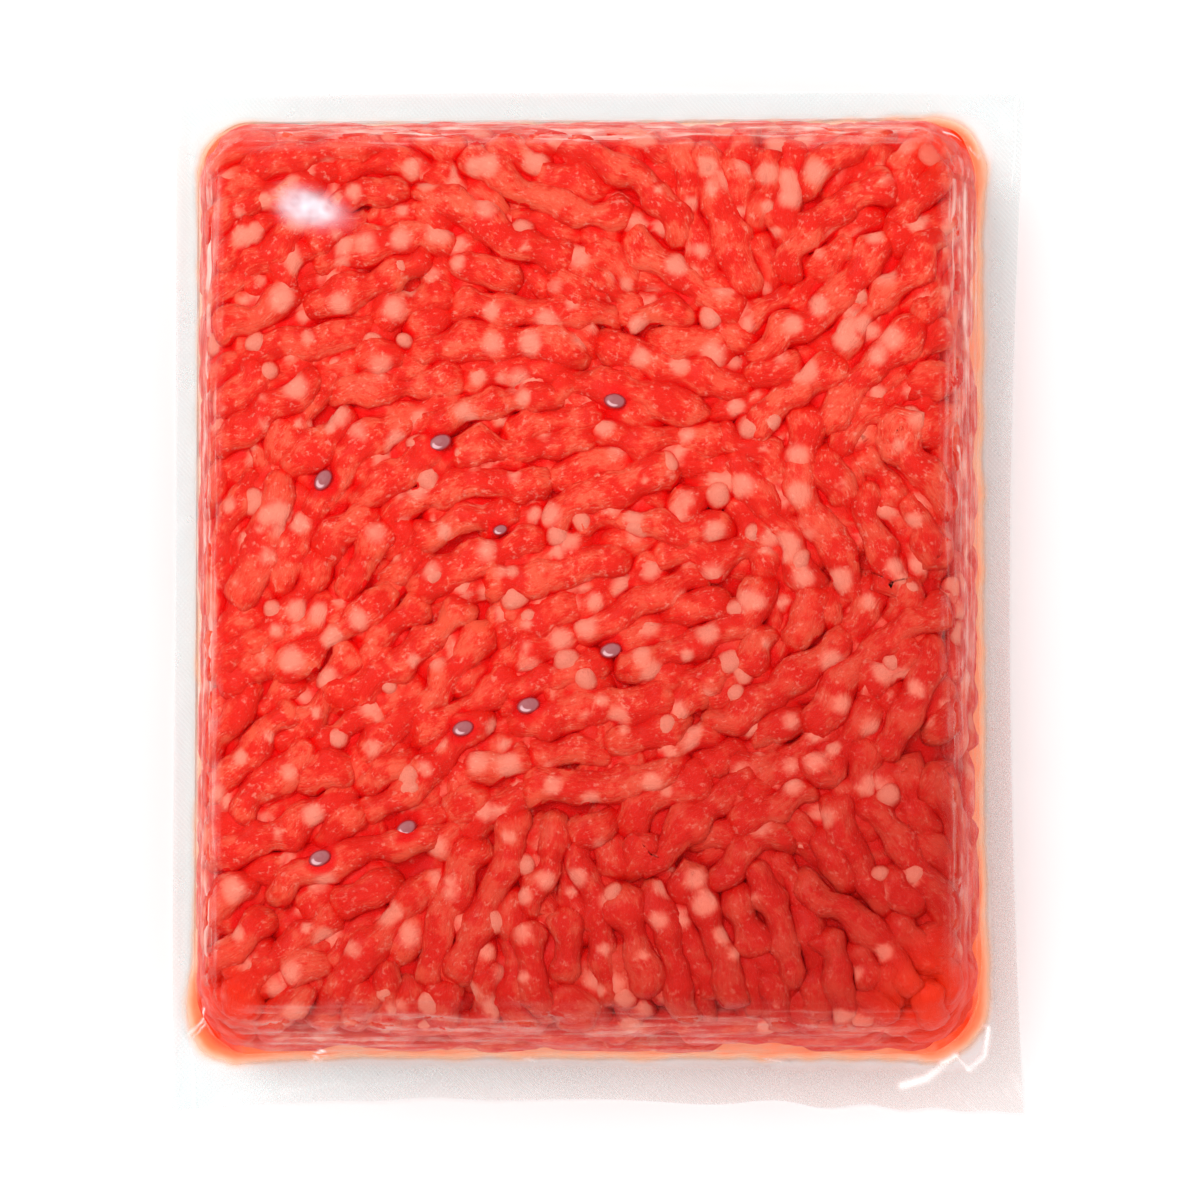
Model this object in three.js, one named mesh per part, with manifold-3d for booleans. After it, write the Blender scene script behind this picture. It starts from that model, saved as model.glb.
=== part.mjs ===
// Vacuum pack of minced meat, lying flat with its formed side up. Two films are welded all round
// in a knurled margin; the upper one is shrunk tight on a block of mince, so the solid "mince" has
// the shape of the filled pocket, with the strands and the pieces of fat that show through the
// clear film standing out of it. Juice has gathered in the pocket's four bottom corners.
// Millimetres, +Z up. The origin is the middle of the pack, on the surface that it lies on.
// +X is to the right and +Y to the back for someone who reads the pack from the front (-Y).
import * as THREE from "three";
import { mergeVertices } from "three/addons/utils/BufferGeometryUtils.js";
import Module from "manifold-3d";

// Driving dimensions
const PACK_WIDTH = 142;
const PACK_LENGTH = 170;
const POCKET = { left: -66.7, right: 62.9, front: -75.2, back: 79.4, height: 29 }; // at its foot
const WALL_RUN = { left: 9.5, right: 10.5, front: 13.5, back: 11.5 }; // how far each wall leans in
const WALL_ROUNDNESS = 2.15; // exponent of the wall's section: 2 is an ellipse, more is boxier
const FILM_THICKNESS = 0.5; // both films, thicker than their real 0.25 so that the solid holds
const GAP = 0.35; // between solids that touch in the real pack
const FOOT = FILM_THICKNESS + GAP; // height of the block's underside
const SLIVER = 0.1; // details finer than this are left by joins and are smoothed away

// Edges and lift of the welded margin
const RIGHT_WAIST = 2.4; // how far the right edge is drawn in at its middle
const RIGHT_END = 1.1; // how much narrower the pack is at its front right corner
const FRONT_RISE = 2.3; // how far the front edge is drawn in between its corners
const FRONT_RIPPLE = 0.9; // height of the front edge's ripples, at the right end
const RIPPLE_PACE = 560; // the ripples shorten to the right: half a wave for this much of x squared
const MARGIN_LIFT = 1.2; // the margin's waves stand this high off the table
const CORNER_LIFT = 1.3; // and its corners curl up by this much more
const MARGIN_WAVES = 7; // waves round the whole margin
const FLAT_SHARE = 0.42; // share of the margin's width next to the pocket that stays flat
const FREE_HALF = 1.75; // ring of the sheet that shapes the rise of the part beyond it
const MARGIN_START = 1.1; // the margin begins on this ring, a little outside the pocket's foot
const CURL_WIDTH = 0.1; // how far a corner's curl reaches along the edge, in places

// Corners round the block and round the film sheet
const BLOCK_CORNERS = 60;
const SHEET_CORNERS = 144;
const BLOCK_SHARES = [1, 0.97, 0.9, 0.78, 0.62, 0.42, 0.2]; // rings of the block, from its foot up
const BLOCK_INSET = 0.7; // the block's walls stand in by this share of a strand's half height

// Strands of mince, pressed flat by the film: half width, half height and length of centre line
const STRAND = { radius: 2.8, depth: 2.2, longest: 26, shortest: 3, blunt: 0.8 };
const STRAND_FACES = { along: 8, across: 6 }; // a strand's facets: length in mm, and how many round
const SHORTENED = 0.6; // a strand can be this share of the length it was to have
const GIRTH = { least: 0.9, most: 1.05 }; // a strand's half width varies between these shares
const STRAY = { sway: 0.3, bend: 0.03 }; // how far a strand turns off the flow, and bends per mm
const STRIDE = 7; // mm between points of a strand's centre line
const SPACING = { first: 5.2, last: 4.5 }; // between centre lines, as the strands are laid
const TRIES = 7000;
const TOP_REACH = 0.6; // strands of the top face stay where the slope share is under this
const SUNK = 0.7; // a strand of the top face lies up to this much under the film
const WALL_ROWS = [0.97, 0.87, 0.72]; // slope shares of the rows of strands on the walls
const WALL_STRANDS = 19; // in each row
const WALL_STRAND = { shift: 0.15, shortest: 0.045, longest: 0.085, tilt: 0.03, lowest: 0.99, sunk: 0.2 };
const FAT = { count: 60, smallest: 1.8, largest: 2.7, show: 0.45, sunk: 0.6, narrow: 0.8, wide: 1.1 };
const SEED = 20;

// Which way the strands lie at places on the top face: x, y, degrees from +X
const FLOW = [
  [-42, 52, 30], [-17, 62, -38], [2, 56, -22], [23, 61, 98], [42, 62, 45],
  [40, 38, 35], [14, 42, -15], [-20, 34, 20], [-50, 10, 58], [6, 8, 10],
  [40, 12, -62], [46, -10, 52], [-10, -17, 15], [-40, -8, 45], [-42, -44, 24],
  [-20, -56, 80], [6, -58, 108], [20, -32, 27], [40, -46, -58], [22, -66, -72],
];
const FLOW_BLUR = 7; // mm over which neighbouring directions blend

// Pools of juice in the pocket's corners: half width and height of the round body that each is
// cut from, and how far its middle lies inside the pocket's corner
const POOLS = {
  back_right: { across: 8.2, up: 6.5, inset: 5 },
  back_left: { across: 7.4, up: 5.5, inset: 5.6 },
  front_left: { across: 8.8, up: 7, inset: 5 },
  front_right: { across: 9.2, up: 7, inset: 5 },
};

const RED = { color: 0xe5392b, roughness: 0.35, metalness: 0 };
const JUICE = { color: 0xf0551f, roughness: 0.15, metalness: 0 };
const CLEAR = { color: 0xe9e4e2, roughness: 0.2, metalness: 0, transparent: true, opacity: 0.55 };

const wasm = await Module();
wasm.setup();

// Seeded random numbers from 0 to 1
function randomFrom(seed) {
  let state = seed;
  return () => {
    state = (state + 0x6d2b79f5) | 0;
    let mixed = Math.imul(state ^ (state >>> 15), 1 | state);
    mixed = (mixed + Math.imul(mixed ^ (mixed >>> 7), 61 | mixed)) ^ mixed;
    return ((mixed ^ (mixed >>> 14)) >>> 0) / 4294967296;
  };
}
const random = randomFrom(SEED);
const between = (low, high) => low + (high - low) * random();

// A closed three.js geometry as a solid
function solidOf(geometry) {
  const bare = geometry.clone().deleteAttribute("normal").deleteAttribute("uv");
  const merged = mergeVertices(bare, 1e-3);
  return new wasm.Manifold(new wasm.Mesh({
    numProp: 3,
    vertProperties: new Float32Array(merged.attributes.position.array),
    triVerts: new Uint32Array(merged.index.array),
  }));
}

function geometryOf(solid) {
  const mesh = solid.getMesh();
  const geometry = new THREE.BufferGeometry();
  geometry.setAttribute("position", new THREE.BufferAttribute(mesh.vertProperties, mesh.numProp));
  geometry.setIndex(new THREE.BufferAttribute(mesh.triVerts, 1));
  return geometry;
}

// The largest closed shell alone: hollows sealed inside it are filled and loose scraps dropped.
// Corners that meet once near points are merged can seal another hollow, so it is done twice.
function wholeBody(solid) {
  let body = solid;
  for (let pass = 0; pass < 2; pass++) {
    const shells = body.simplify(SLIVER).decompose();
    const largest = shells.reduce((kept, next) => (next.volume() > kept.volume() ? next : kept));
    body = solidOf(geometryOf(largest));
  }
  return body;
}

// How far a point is down the pocket's shoulder: 0 on the flat top, 1 at the foot
function slopeShare(x, y) {
  const sideways = Math.max(
    0,
    1 - (x - POCKET.left) / WALL_RUN.left,
    1 - (POCKET.right - x) / WALL_RUN.right,
  );
  const lengthways = Math.max(
    0,
    1 - (y - POCKET.front) / WALL_RUN.front,
    1 - (POCKET.back - y) / WALL_RUN.back,
  );
  return Math.hypot(sideways, lengthways);
}

// Height of the film over a slope share
function heightAt(share) {
  return POCKET.height * (1 - Math.min(1, share) ** WALL_ROUNDNESS) ** (1 / WALL_ROUNDNESS);
}

// Rings round the pocket: straight sides between corners that are elliptical arcs. A place is
// counted in corners, each with the side that follows it, from 0 to 4.
const CORNERS = [
  { x: "right", y: "back", turn: 0 },
  { x: "left", y: "back", turn: 90 },
  { x: "left", y: "front", turn: 180 },
  { x: "right", y: "front", turn: 270 },
];
const CORNER_PART = 1 / 3; // share of a place that turns the corner
const placeName = (corner) => `${corner.y}_${corner.x}`;

function cornerPoint(corner, degrees, share, shrink) {
  const { x, y } = corner;
  const angle = THREE.MathUtils.degToRad(degrees);
  const inX = x === "right" ? POCKET.right - WALL_RUN.right : POCKET.left + WALL_RUN.left;
  const inY = y === "back" ? POCKET.back - WALL_RUN.back : POCKET.front + WALL_RUN.front;
  return new THREE.Vector2(
    inX + share * (WALL_RUN[x] - shrink) * Math.cos(angle),
    inY + share * (WALL_RUN[y] - shrink) * Math.sin(angle),
  );
}

function ringPoint(place, share, shrink = 0) {
  const whole = ((place % 4) + 4) % 4;
  const corner = Math.floor(whole);
  const along = whole - corner;
  const here = CORNERS[corner];
  if (along <= CORNER_PART) {
    return cornerPoint(here, here.turn + (90 * along) / CORNER_PART, share, shrink);
  }
  const next = CORNERS[(corner + 1) % 4];
  const start = cornerPoint(here, here.turn + 90, share, shrink);
  const end = cornerPoint(next, next.turn, share, shrink);
  return start.lerp(end, (along - CORNER_PART) / (1 - CORNER_PART));
}

// A body turned on a lathe, [radius, height] from axis to axis, then drawn out to the pack's shape
function drawnOut(profile, around, move) {
  const points = profile.map(([radius, height]) => new THREE.Vector2(radius, height));
  const geometry = new THREE.LatheGeometry(points, around);
  const at = geometry.attributes.position;
  for (let ring = 0; ring <= around; ring++) {
    for (let step = 0; step < points.length; step++) {
      const { x, y, z } = move((4 * (ring % around)) / around, ...profile[step]);
      at.setXYZ(ring * points.length + step, x, y, z);
    }
  }
  return solidOf(geometry);
}

// The block of mince under its strands: the pocket drawn in by the strands' half height
function block(inset, foot) {
  const side = BLOCK_SHARES.map((share) => [share, heightAt(share) - inset]);
  const profile = [[0, foot], ...side, [0, POCKET.height - inset]];
  return drawnOut(profile, BLOCK_CORNERS, (place, share, height) => {
    if (share === 0) return new THREE.Vector3(0, 0, height);
    const flat = ringPoint(place, share, inset * BLOCK_INSET);
    return new THREE.Vector3(flat.x, flat.y, Math.max(foot, height));
  });
}

// Direction of the strands at a point of the top face: lines have no front end, so angles are
// doubled before they are blended
function flowAt(x, y) {
  let across = 0;
  let along = 0;
  for (const [atX, atY, degrees] of FLOW) {
    const weight = ((x - atX) ** 2 + (y - atY) ** 2 + FLOW_BLUR ** 2) ** -2;
    const doubled = THREE.MathUtils.degToRad(2 * degrees);
    across += weight * Math.cos(doubled);
    along += weight * Math.sin(doubled);
  }
  return Math.atan2(along, across) / 2;
}

function filmNormal(point) {
  const step = 0.5;
  const rise = (dx, dy) => heightAt(slopeShare(point.x + dx, point.y + dy));
  return new THREE.Vector3(
    rise(-step, 0) - rise(step, 0),
    rise(0, -step) - rise(0, step),
    2 * step,
  ).normalize();
}

// One strand: a capsule bent along its centre line and flattened along the film's normal
function strandSolid(points, radius, depth) {
  const spine = new THREE.CatmullRomCurve3(points);
  const length = spine.getLength();
  const steps = Math.max(1, Math.round(length / STRAND_FACES.along));
  const geometry = new THREE.CapsuleGeometry(radius, length, 1, STRAND_FACES.across, steps);
  const at = geometry.attributes.position;
  for (let i = 0; i < at.count; i++) {
    const along = THREE.MathUtils.clamp(at.getY(i), -length / 2, length / 2);
    const point = spine.getPointAt(along / length + 0.5);
    const forward = spine.getTangentAt(along / length + 0.5);
    const aside = new THREE.Vector3().crossVectors(forward, filmNormal(point)).normalize();
    const above = new THREE.Vector3().crossVectors(aside, forward);
    point.addScaledVector(forward, (at.getY(i) - along) * STRAND.blunt);
    point.addScaledVector(aside, at.getX(i)).addScaledVector(above, (at.getZ(i) * depth) / radius);
    at.setXYZ(i, point.x, point.y, point.z);
  }
  return solidOf(geometry);
}

// Centre line on the top face: it follows the flow both ways from its middle
function topLine(x, y, length, turn, bend) {
  const points = [new THREE.Vector2(x, y)];
  const half = Math.max(1, Math.ceil(length / STRIDE));
  const stride = length / 2 / half;
  for (const way of [-1, 1]) {
    const walker = new THREE.Vector2(x, y);
    for (let i = 0; i < half; i++) {
      const angle = flowAt(walker.x, walker.y) + turn + way * (i + 0.5) * stride * bend;
      walker.add(new THREE.Vector2(Math.cos(angle), Math.sin(angle)).multiplyScalar(way * stride));
      if (way < 0) points.unshift(walker.clone());
      else points.push(walker.clone());
    }
  }
  return points;
}

// Strands are laid at random places, long ones first and short ones in what is left, each kept
// where it clears those already laid, so that they pack side by side as pressed mince does
function topStrands() {
  const laid = [];
  const solids = [];
  for (let i = 0; i < TRIES; i++) {
    const late = i / TRIES;
    const x = between(POCKET.left, POCKET.right);
    const y = between(POCKET.front, POCKET.back);
    const longest = THREE.MathUtils.lerp(STRAND.longest, STRAND.shortest, late);
    const length = longest * between(SHORTENED, 1);
    const turn = between(-STRAY.sway, STRAY.sway);
    const bend = between(-STRAY.bend, STRAY.bend);
    if (slopeShare(x, y) > TOP_REACH) continue;
    const spacing = THREE.MathUtils.lerp(SPACING.first, SPACING.last, late);
    const line = topLine(x, y, length, turn, bend);
    const inside = line.every((p) => slopeShare(p.x, p.y) < TOP_REACH);
    const clear = laid.every((other) => line.every((p) => p.distanceTo(other) > spacing));
    if (!inside || !clear) continue;
    laid.push(...line);
    const sunk = STRAND.depth + between(0, SUNK);
    const points = line.map((p) => {
      return new THREE.Vector3(p.x, p.y, heightAt(slopeShare(p.x, p.y)) - sunk);
    });
    const radius = STRAND.radius * between(GIRTH.least, GIRTH.most);
    solids.push(strandSolid(points, radius, STRAND.depth));
  }
  return solids;
}

// Strands smeared along the walls, in rows from foot to shoulder
function wallStrands() {
  const solids = [];
  const { shift, shortest, longest, lowest } = WALL_STRAND;
  for (const [row, share] of WALL_ROWS.entries()) {
    for (let i = 0; i < WALL_STRANDS; i++) {
      const middle = (4 * (i + 0.5 * (row % 2) + between(-shift, shift))) / WALL_STRANDS;
      const reach = between(shortest, longest);
      const tilt = between(-WALL_STRAND.tilt, WALL_STRAND.tilt);
      const points = [-1, -0.5, 0, 0.5, 1].map((step) => {
        const flat = ringPoint(middle + step * reach, Math.min(lowest, share + step * tilt));
        const point = new THREE.Vector3(flat.x, flat.y, heightAt(slopeShare(flat.x, flat.y)));
        return point.addScaledVector(filmNormal(point), -STRAND.depth - WALL_STRAND.sunk);
      });
      if (points.some((p) => p.z < FOOT + STRAND.radius)) continue;
      solids.push(strandSolid(points, STRAND.radius, STRAND.depth));
    }
  }
  return solids;
}

// Pieces of fat pressed between the strands of the top face
function fatPieces() {
  const solids = [];
  while (solids.length < FAT.count) {
    const x = between(POCKET.left, POCKET.right);
    const y = between(POCKET.front, POCKET.back);
    const radius = between(FAT.smallest, FAT.largest);
    if (slopeShare(x, y) > TOP_REACH) continue;
    const piece = new THREE.IcosahedronGeometry(radius, 0);
    piece.scale(between(FAT.narrow, FAT.wide), between(FAT.narrow, FAT.wide), 1);
    piece.rotateZ(between(0, Math.PI));
    piece.translate(x, y, heightAt(slopeShare(x, y)) - radius * (1 - FAT.show) - FAT.sunk);
    solids.push(solidOf(piece));
  }
  return solids;
}

// The round body that juice takes in one corner of the pocket, its middle at the block's foot
function poolBody(corner, grown) {
  const pool = POOLS[placeName(corner)];
  const middle = cornerPoint(corner, corner.turn + 45, 1, pool.inset);
  const body = new THREE.SphereGeometry(1, 16, 10);
  body.rotateX(Math.PI / 2);
  body.scale(pool.across + grown, pool.across + grown, pool.up + grown);
  body.translate(middle.x, middle.y, FOOT);
  return solidOf(body);
}

// The upper half of that body, which rests on the film in a recess of the block
function poolSolid(corner) {
  const floor = new THREE.BoxGeometry(2 * PACK_WIDTH, 2 * PACK_LENGTH, 2 * POCKET.height);
  floor.translate(0, 0, FOOT - POCKET.height);
  return poolBody(corner, 0).subtract(solidOf(floor));
}

// Edges of the cut film: straight at the left and back, drawn in and rippled at the others
function rightEdge(y) {
  const down = 0.5 - y / PACK_LENGTH;
  return PACK_WIDTH / 2 - RIGHT_END * down - RIGHT_WAIST * Math.sin(Math.PI * down);
}

function frontEdge(x) {
  const along = x / PACK_WIDTH + 0.5;
  const rise = FRONT_RISE * Math.abs(Math.sin(Math.PI * (1 - (1 - along) ** 1.4))) ** 0.7;
  const ripple = FRONT_RIPPLE * along * Math.sin((Math.PI * (x * x - RIPPLE_PACE)) / RIPPLE_PACE);
  return -PACK_LENGTH / 2 + rise + ripple * Math.sin(Math.PI * along);
}

// Where the straight line from the pocket's middle through a point of its foot leaves the film
function edgeBeyond(foot) {
  const middle = new THREE.Vector2(
    (POCKET.left + POCKET.right) / 2,
    (POCKET.front + POCKET.back) / 2,
  );
  const away = foot.clone().sub(middle);
  const reachX = away.x > 0 ? PACK_WIDTH / 2 - middle.x : PACK_WIDTH / 2 + middle.x;
  const reachY = away.y > 0 ? PACK_LENGTH / 2 - middle.y : PACK_LENGTH / 2 + middle.y;
  const stretch = Math.min(reachX / Math.abs(away.x), reachY / Math.abs(away.y));
  return middle.addScaledVector(away, stretch);
}

// Lower film and welded margin: one thin sheet, flat under the block and waved round it
function filmSheet() {
  const rings = [1, 1 + FLAT_SHARE, FREE_HALF, 2];
  const under = rings.map((radius) => [radius, 0]);
  const over = rings.map((radius) => [radius, FILM_THICKNESS]).reverse();
  const profile = [[0, 0], ...under, ...over, [0, FILM_THICKNESS]];
  return drawnOut(profile, SHEET_CORNERS, (place, radius, height) => {
    if (radius === 0) return new THREE.Vector3(0, 0, height);
    const foot = ringPoint(place, MARGIN_START);
    const fromCorner = (place % 1) - CORNER_PART / 2;
    const edge = edgeBeyond(foot);
    if (Math.abs(fromCorner) < 0.001) {
      edge.set((Math.sign(foot.x) * PACK_WIDTH) / 2, (Math.sign(foot.y) * PACK_LENGTH) / 2);
    }
    edge.x = Math.min(edge.x, rightEdge(edge.y));
    edge.y = Math.max(edge.y, frontEdge(edge.x));
    const out = radius - 1;
    const flat = foot.lerp(edge, out);
    const wave = 0.5 - 0.5 * Math.cos((2 * Math.PI * MARGIN_WAVES * place) / 4 + 1);
    const curl = Math.exp(-((fromCorner / CURL_WIDTH) ** 2));
    const free = Math.max(0, out - FLAT_SHARE) / (1 - FLAT_SHARE);
    const lift = free ** 2 * (MARGIN_LIFT * wave + CORNER_LIFT * curl);
    return new THREE.Vector3(flat.x, flat.y, lift + height);
  });
}

function named(name, solid, look) {
  const geometry = geometryOf(wholeBody(solid));
  geometry.computeVertexNormals();
  const mesh = new THREE.Mesh(geometry, new THREE.MeshStandardMaterial(look));
  mesh.name = name;
  return mesh;
}

// The block with its strands and fat fused on, recessed at the corners for the juice
function minceSolid() {
  const parts = [block(STRAND.depth, FOOT), ...topStrands(), ...wallStrands(), ...fatPieces()];
  const recesses = CORNERS.map((corner) => poolBody(corner, GAP));
  return wasm.Manifold.union(parts).subtract(wasm.Manifold.union(recesses));
}

const pack = new THREE.Group();
pack.add(named("film_sheet", filmSheet(), CLEAR));
pack.add(named("mince", minceSolid(), RED));
for (const corner of CORNERS) {
  pack.add(named(`juice_${placeName(corner)}`, poolSolid(corner), JUICE));
}

export default pack;
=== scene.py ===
"""Looks of a vacuum pack of minced meat: strands and granules of fat under a clear film that is
shrunk on them, juice in the pocket's corners, and a knurled margin where two films are welded.

Shapes are worked out in millimetres, in the frame of the packed solids, and meshes are made in
metres. The strands are laid by the same rule and the same seeded draws as the solids' strands.
"""

import functools
import math
from types import SimpleNamespace

import bpy
import numpy as np
from mathutils import Matrix, Vector
from mathutils.bvhtree import BVHTree


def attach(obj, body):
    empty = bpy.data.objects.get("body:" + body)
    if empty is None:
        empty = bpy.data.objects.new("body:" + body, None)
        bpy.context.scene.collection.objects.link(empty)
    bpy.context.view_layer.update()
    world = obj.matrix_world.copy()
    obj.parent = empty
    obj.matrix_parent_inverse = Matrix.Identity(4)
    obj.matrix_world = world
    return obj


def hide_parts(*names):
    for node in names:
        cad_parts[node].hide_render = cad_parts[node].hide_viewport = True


bl_info = {
    "name": "Minced Meat Pack",
    "version": (1, 0, 0),
    "blender": (4, 5, 0),
    "location": "3D View > Sidebar > Mince Pack",
    "description": "Builds a vacuum pack of minced meat on its packed solids",
    "category": "Object",
}

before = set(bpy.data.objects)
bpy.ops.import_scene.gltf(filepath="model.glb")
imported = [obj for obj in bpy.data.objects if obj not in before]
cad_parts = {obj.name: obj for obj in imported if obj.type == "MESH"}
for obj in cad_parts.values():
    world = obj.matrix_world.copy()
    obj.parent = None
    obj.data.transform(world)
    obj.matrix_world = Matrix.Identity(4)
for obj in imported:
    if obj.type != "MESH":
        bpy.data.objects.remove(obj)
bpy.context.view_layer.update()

MM = 0.001
BODY = "root"

# The pocket and the margin, as the solids have them
PACK_WIDTH = 142.0
PACK_LENGTH = 170.0
POCKET = SimpleNamespace(left=-66.7, right=62.9, front=-75.2, back=79.4, height=29.0)
WALL_RUN = SimpleNamespace(left=9.5, right=10.5, front=13.5, back=11.5)
WALL_ROUNDNESS = 2.15
FOOT = 0.85  # height of the block's underside
RIGHT_WAIST = 2.4  # how far the film's right edge is drawn in at its middle
RIGHT_END = 1.1  # and at its front end
FRONT_RISE = 2.3  # how far the front edge is drawn in
FRONT_RIPPLE = 0.9  # height of the ripples along the front edge
RIPPLE_PACE = 560.0  # what sets how close those ripples are
MARGIN_LIFT = 1.2  # height of the waves at the film's edge
CORNER_LIFT = 1.3  # how high the film's corners curl
MARGIN_WAVES = 7  # waves round the whole edge
FLAT_SHARE = 0.42  # share of the margin's width that lies flat
CORNER_PART = 1 / 3  # share of the places that a corner takes up, before its side

# Strands and fat, as the solids have them
STRAND = SimpleNamespace(radius=2.8, depth=2.2, longest=26.0, shortest=3.0)
STRAY = SimpleNamespace(sway=0.3, bend=0.03)
TOP_KIND = SimpleNamespace(tries=7000, first=5.2, last=4.5, sink=0.0, slim=1.0)
TOP_REACH = 0.6  # slope share to which the strands of the top face go
LONGEST_STEP = 7  # of a strand's centre line
WALL_ROWS = (0.97, 0.87, 0.72)  # slope shares of the rows along the walls
WALL_STRANDS = 19
FAT = SimpleNamespace(count=60, smallest=1.8, largest=2.7, show=0.45)
SEED = 20

# How the strands lie on the top face: x, y and degrees from +X
FLOW = np.array([
    (-42, 52, 30), (-17, 62, -38), (2, 56, -22), (23, 61, 98), (42, 62, 45),
    (40, 38, 35), (14, 42, -15), (-20, 34, 20), (-50, 10, 58), (6, 8, 10),
    (40, 12, -62), (46, -10, 52), (-10, -17, 15), (-40, -8, 45), (-42, -44, 24),
    (-20, -56, 80), (6, -58, 108), (20, -32, 27), (40, -46, -58), (22, -66, -72),
], float)
FLOW_BLUR = 7.0

# Finer strands in the gaps, and the layer under them all: the seed, how many places are tried,
# the spacing of the first and the last, how much deeper they lie, and how slim they are
FINER_KINDS = (
    SimpleNamespace(seed=21, tries=5000, first=4.1, last=3.5, sink=0.2, slim=1.0),
    SimpleNamespace(seed=22, tries=7000, first=3.4, last=2.6, sink=0.7, slim=1.0),
    SimpleNamespace(seed=24, tries=9000, first=2.7, last=2.0, sink=1.1, slim=0.9),
)
LOWEST_KIND = SimpleNamespace(seed=23, tries=3000, first=4.9, last=4.4, sink=1.6, slim=1.0)

# Form of a strand. Its ends are round, its width varies, and it sways a little.
TIP_RINGS = np.array([0.98, 0.9, 0.75, 0.55, 0.28])  # where an end's rings stand, in its length
TIP_LENGTH = 1.5  # in radii
TIP_DIP = 1.3  # how deep an end dips under its neighbours
SWELL = SimpleNamespace(share=0.14, wave=8.0)
SWAY = SimpleNamespace(reach=0.4, wave=9.0)
STRAND_WIDTH = 1.08  # in radii
SQUARENESS = SimpleNamespace(across=0.8, up=0.65)  # 1 is round, and less is more square
GRANULE = SimpleNamespace(smallest=1.0, largest=2.3, out=0.8, scatter=0.8, crispness=1.4, fat=1.55)
FINE_RELIEF = ((0.2, 5.0), (0.07, 2.3))  # height and wavelength of the relief between granules
GRAIN_STRETCH = 0.35  # how much finer the meat's grain is across a strand than along it
LUMP = SimpleNamespace(height=0.85, sunk=0.45, uneven=0.07, wave=4.0)  # a loose piece of fat

# Pieces made of strands: which strands, the seed of their granules, and points round a strand
STRAND_PIECES = (
    ("strands_on_top", "top", 41, 18),
    ("strands_between", "finer", 44, 16),
    ("strands_on_walls", "walls", 42, 14),
    ("strands_beneath", "lowest", 43, 10),
)

# How the film presses the meat flat: the gap from which it presses, and the share that it presses
PRESS_GAP = 0.3
PRESS_TOP = 0.75
PRESS_WALL = 0.8

# Pools of juice: how far each reaches out and up, and how far the meat beside it is soaked
POOLS = (
    SimpleNamespace(node="juice_back_right", across=2.4, up=6.5, soak=9.0),
    SimpleNamespace(node="juice_back_left", across=1.6, up=5.5, soak=7.0),
    SimpleNamespace(node="juice_front_left", across=3.2, up=7.0, soak=11.0),
    SimpleNamespace(node="juice_front_right", across=1.9, up=7.0, soak=14.0),
)
JUICE_LINE = SimpleNamespace(across=0.9, up=2.0)  # the thin line along the foot
POOL_SPREAD = 0.14  # how far a pool reaches from its corner, in places round the pocket
JUICE_FLOOR = 0.25  # height of the juice's lower edge

# Air bubbles caught under the film, in the creases between strands: x, y, half length
BUBBLES = (
    (-43.9, 17.8, 1.9), (-24.9, 23.8, 1.9), (3.4, 30.4, 1.8), (-15.2, 9.6, 1.2), (2.7, -9.9, 1.8),
    (-10.6, -18.8, 1.9), (-21.1, -22.5, 1.8), (-30.3, -38.6, 1.8), (-44.2, -43.4, 1.9),
)
BUBBLE_WIDTH = 0.68  # of a bubble's length
BUBBLE_HEIGHT = 0.3  # of half its length

# Creases pressed into the margin's film beside the pocket's corners, whitened and lit with a painted
# glint: how white they are, half width, and the corners of their path
CREASES = (
    (0.9, 0.75, ((50.0, -80.6), (54.0, -79.4), (58.8, -75.6))),
    (0.8, 0.35, ((58.8, -75.6), (61.0, -77.9))),
    (1.0, 0.5, ((61.0, -77.9), (63.6, -75.6), (64.3, -71.0))),
    (0.7, 0.28, ((-68.4, -72.2), (-65.4, -69.6), (-63.9, -67.7))),
    (0.6, 0.22, ((-67.6, -72.6), (-65.0, -70.2))),
    (0.7, 0.35, ((-47.8, -76.7), (-46.6, -75.4), (-45.0, -74.6))),
    (0.6, 0.25, ((-46.8, -76.9), (-45.4, -75.6))),
    (0.45, 0.3, ((-12.6, -76.2), (-10.6, -76.6))),
    (0.45, 0.3, ((27.0, -76.0), (28.8, -76.6), (31.2, -76.9))),
    (0.6, 0.3, ((57.0, 75.2), (61.0, 75.6), (63.6, 73.6))),
    (0.4, 0.3, ((-67.9, -74.8), (-67.5, -80.0), (-67.3, -84.6))),
    (0.35, 0.2, ((69.6, 84.0), (69.4, 76.0), (68.8, 69.0))),
)

# The place where the film doesn't cling, lifted a little and drawn whitish as a painted glare:
# middle, lie, and reach to the right, the left and aside
GLARE = SimpleNamespace(middle=(-47.6, 62.4), lie=(0.97, 0.24), right=6.4, left=3.4, aside=2.7)

# Meshes of the films, and the film's lengths when it is spread out flat
POCKET_MESH = SimpleNamespace(around=720, inner=56, outer=62)
MARGIN_MESH = SimpleNamespace(around=1800, outwards=24)
SPREAD = SimpleNamespace(around=560.0, top=60.0, wall=34.0)
WALL_FROM = 0.26  # slope share at which the film's wrinkles begin
LOWER_FILM_HEIGHT = 0.12
UPPER_FILM_HEIGHT = 0.4

# The square grid of heights on which the film is shrunk
GRID = SimpleNamespace(left=-72.0, front=-86.0, pitch=0.4, columns=361, rows=431)

CORNERS = (("right", "back"), ("left", "back"), ("left", "front"), ("right", "front"))
PACK_CORNERS = np.array([(1, 1), (-1, 1), (-1, -1), (1, -1)]) * [PACK_WIDTH / 2, PACK_LENGTH / 2]
POCKET_MIDDLE = np.array([(POCKET.left + POCKET.right) / 2, (POCKET.front + POCKET.back) / 2])

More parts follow.
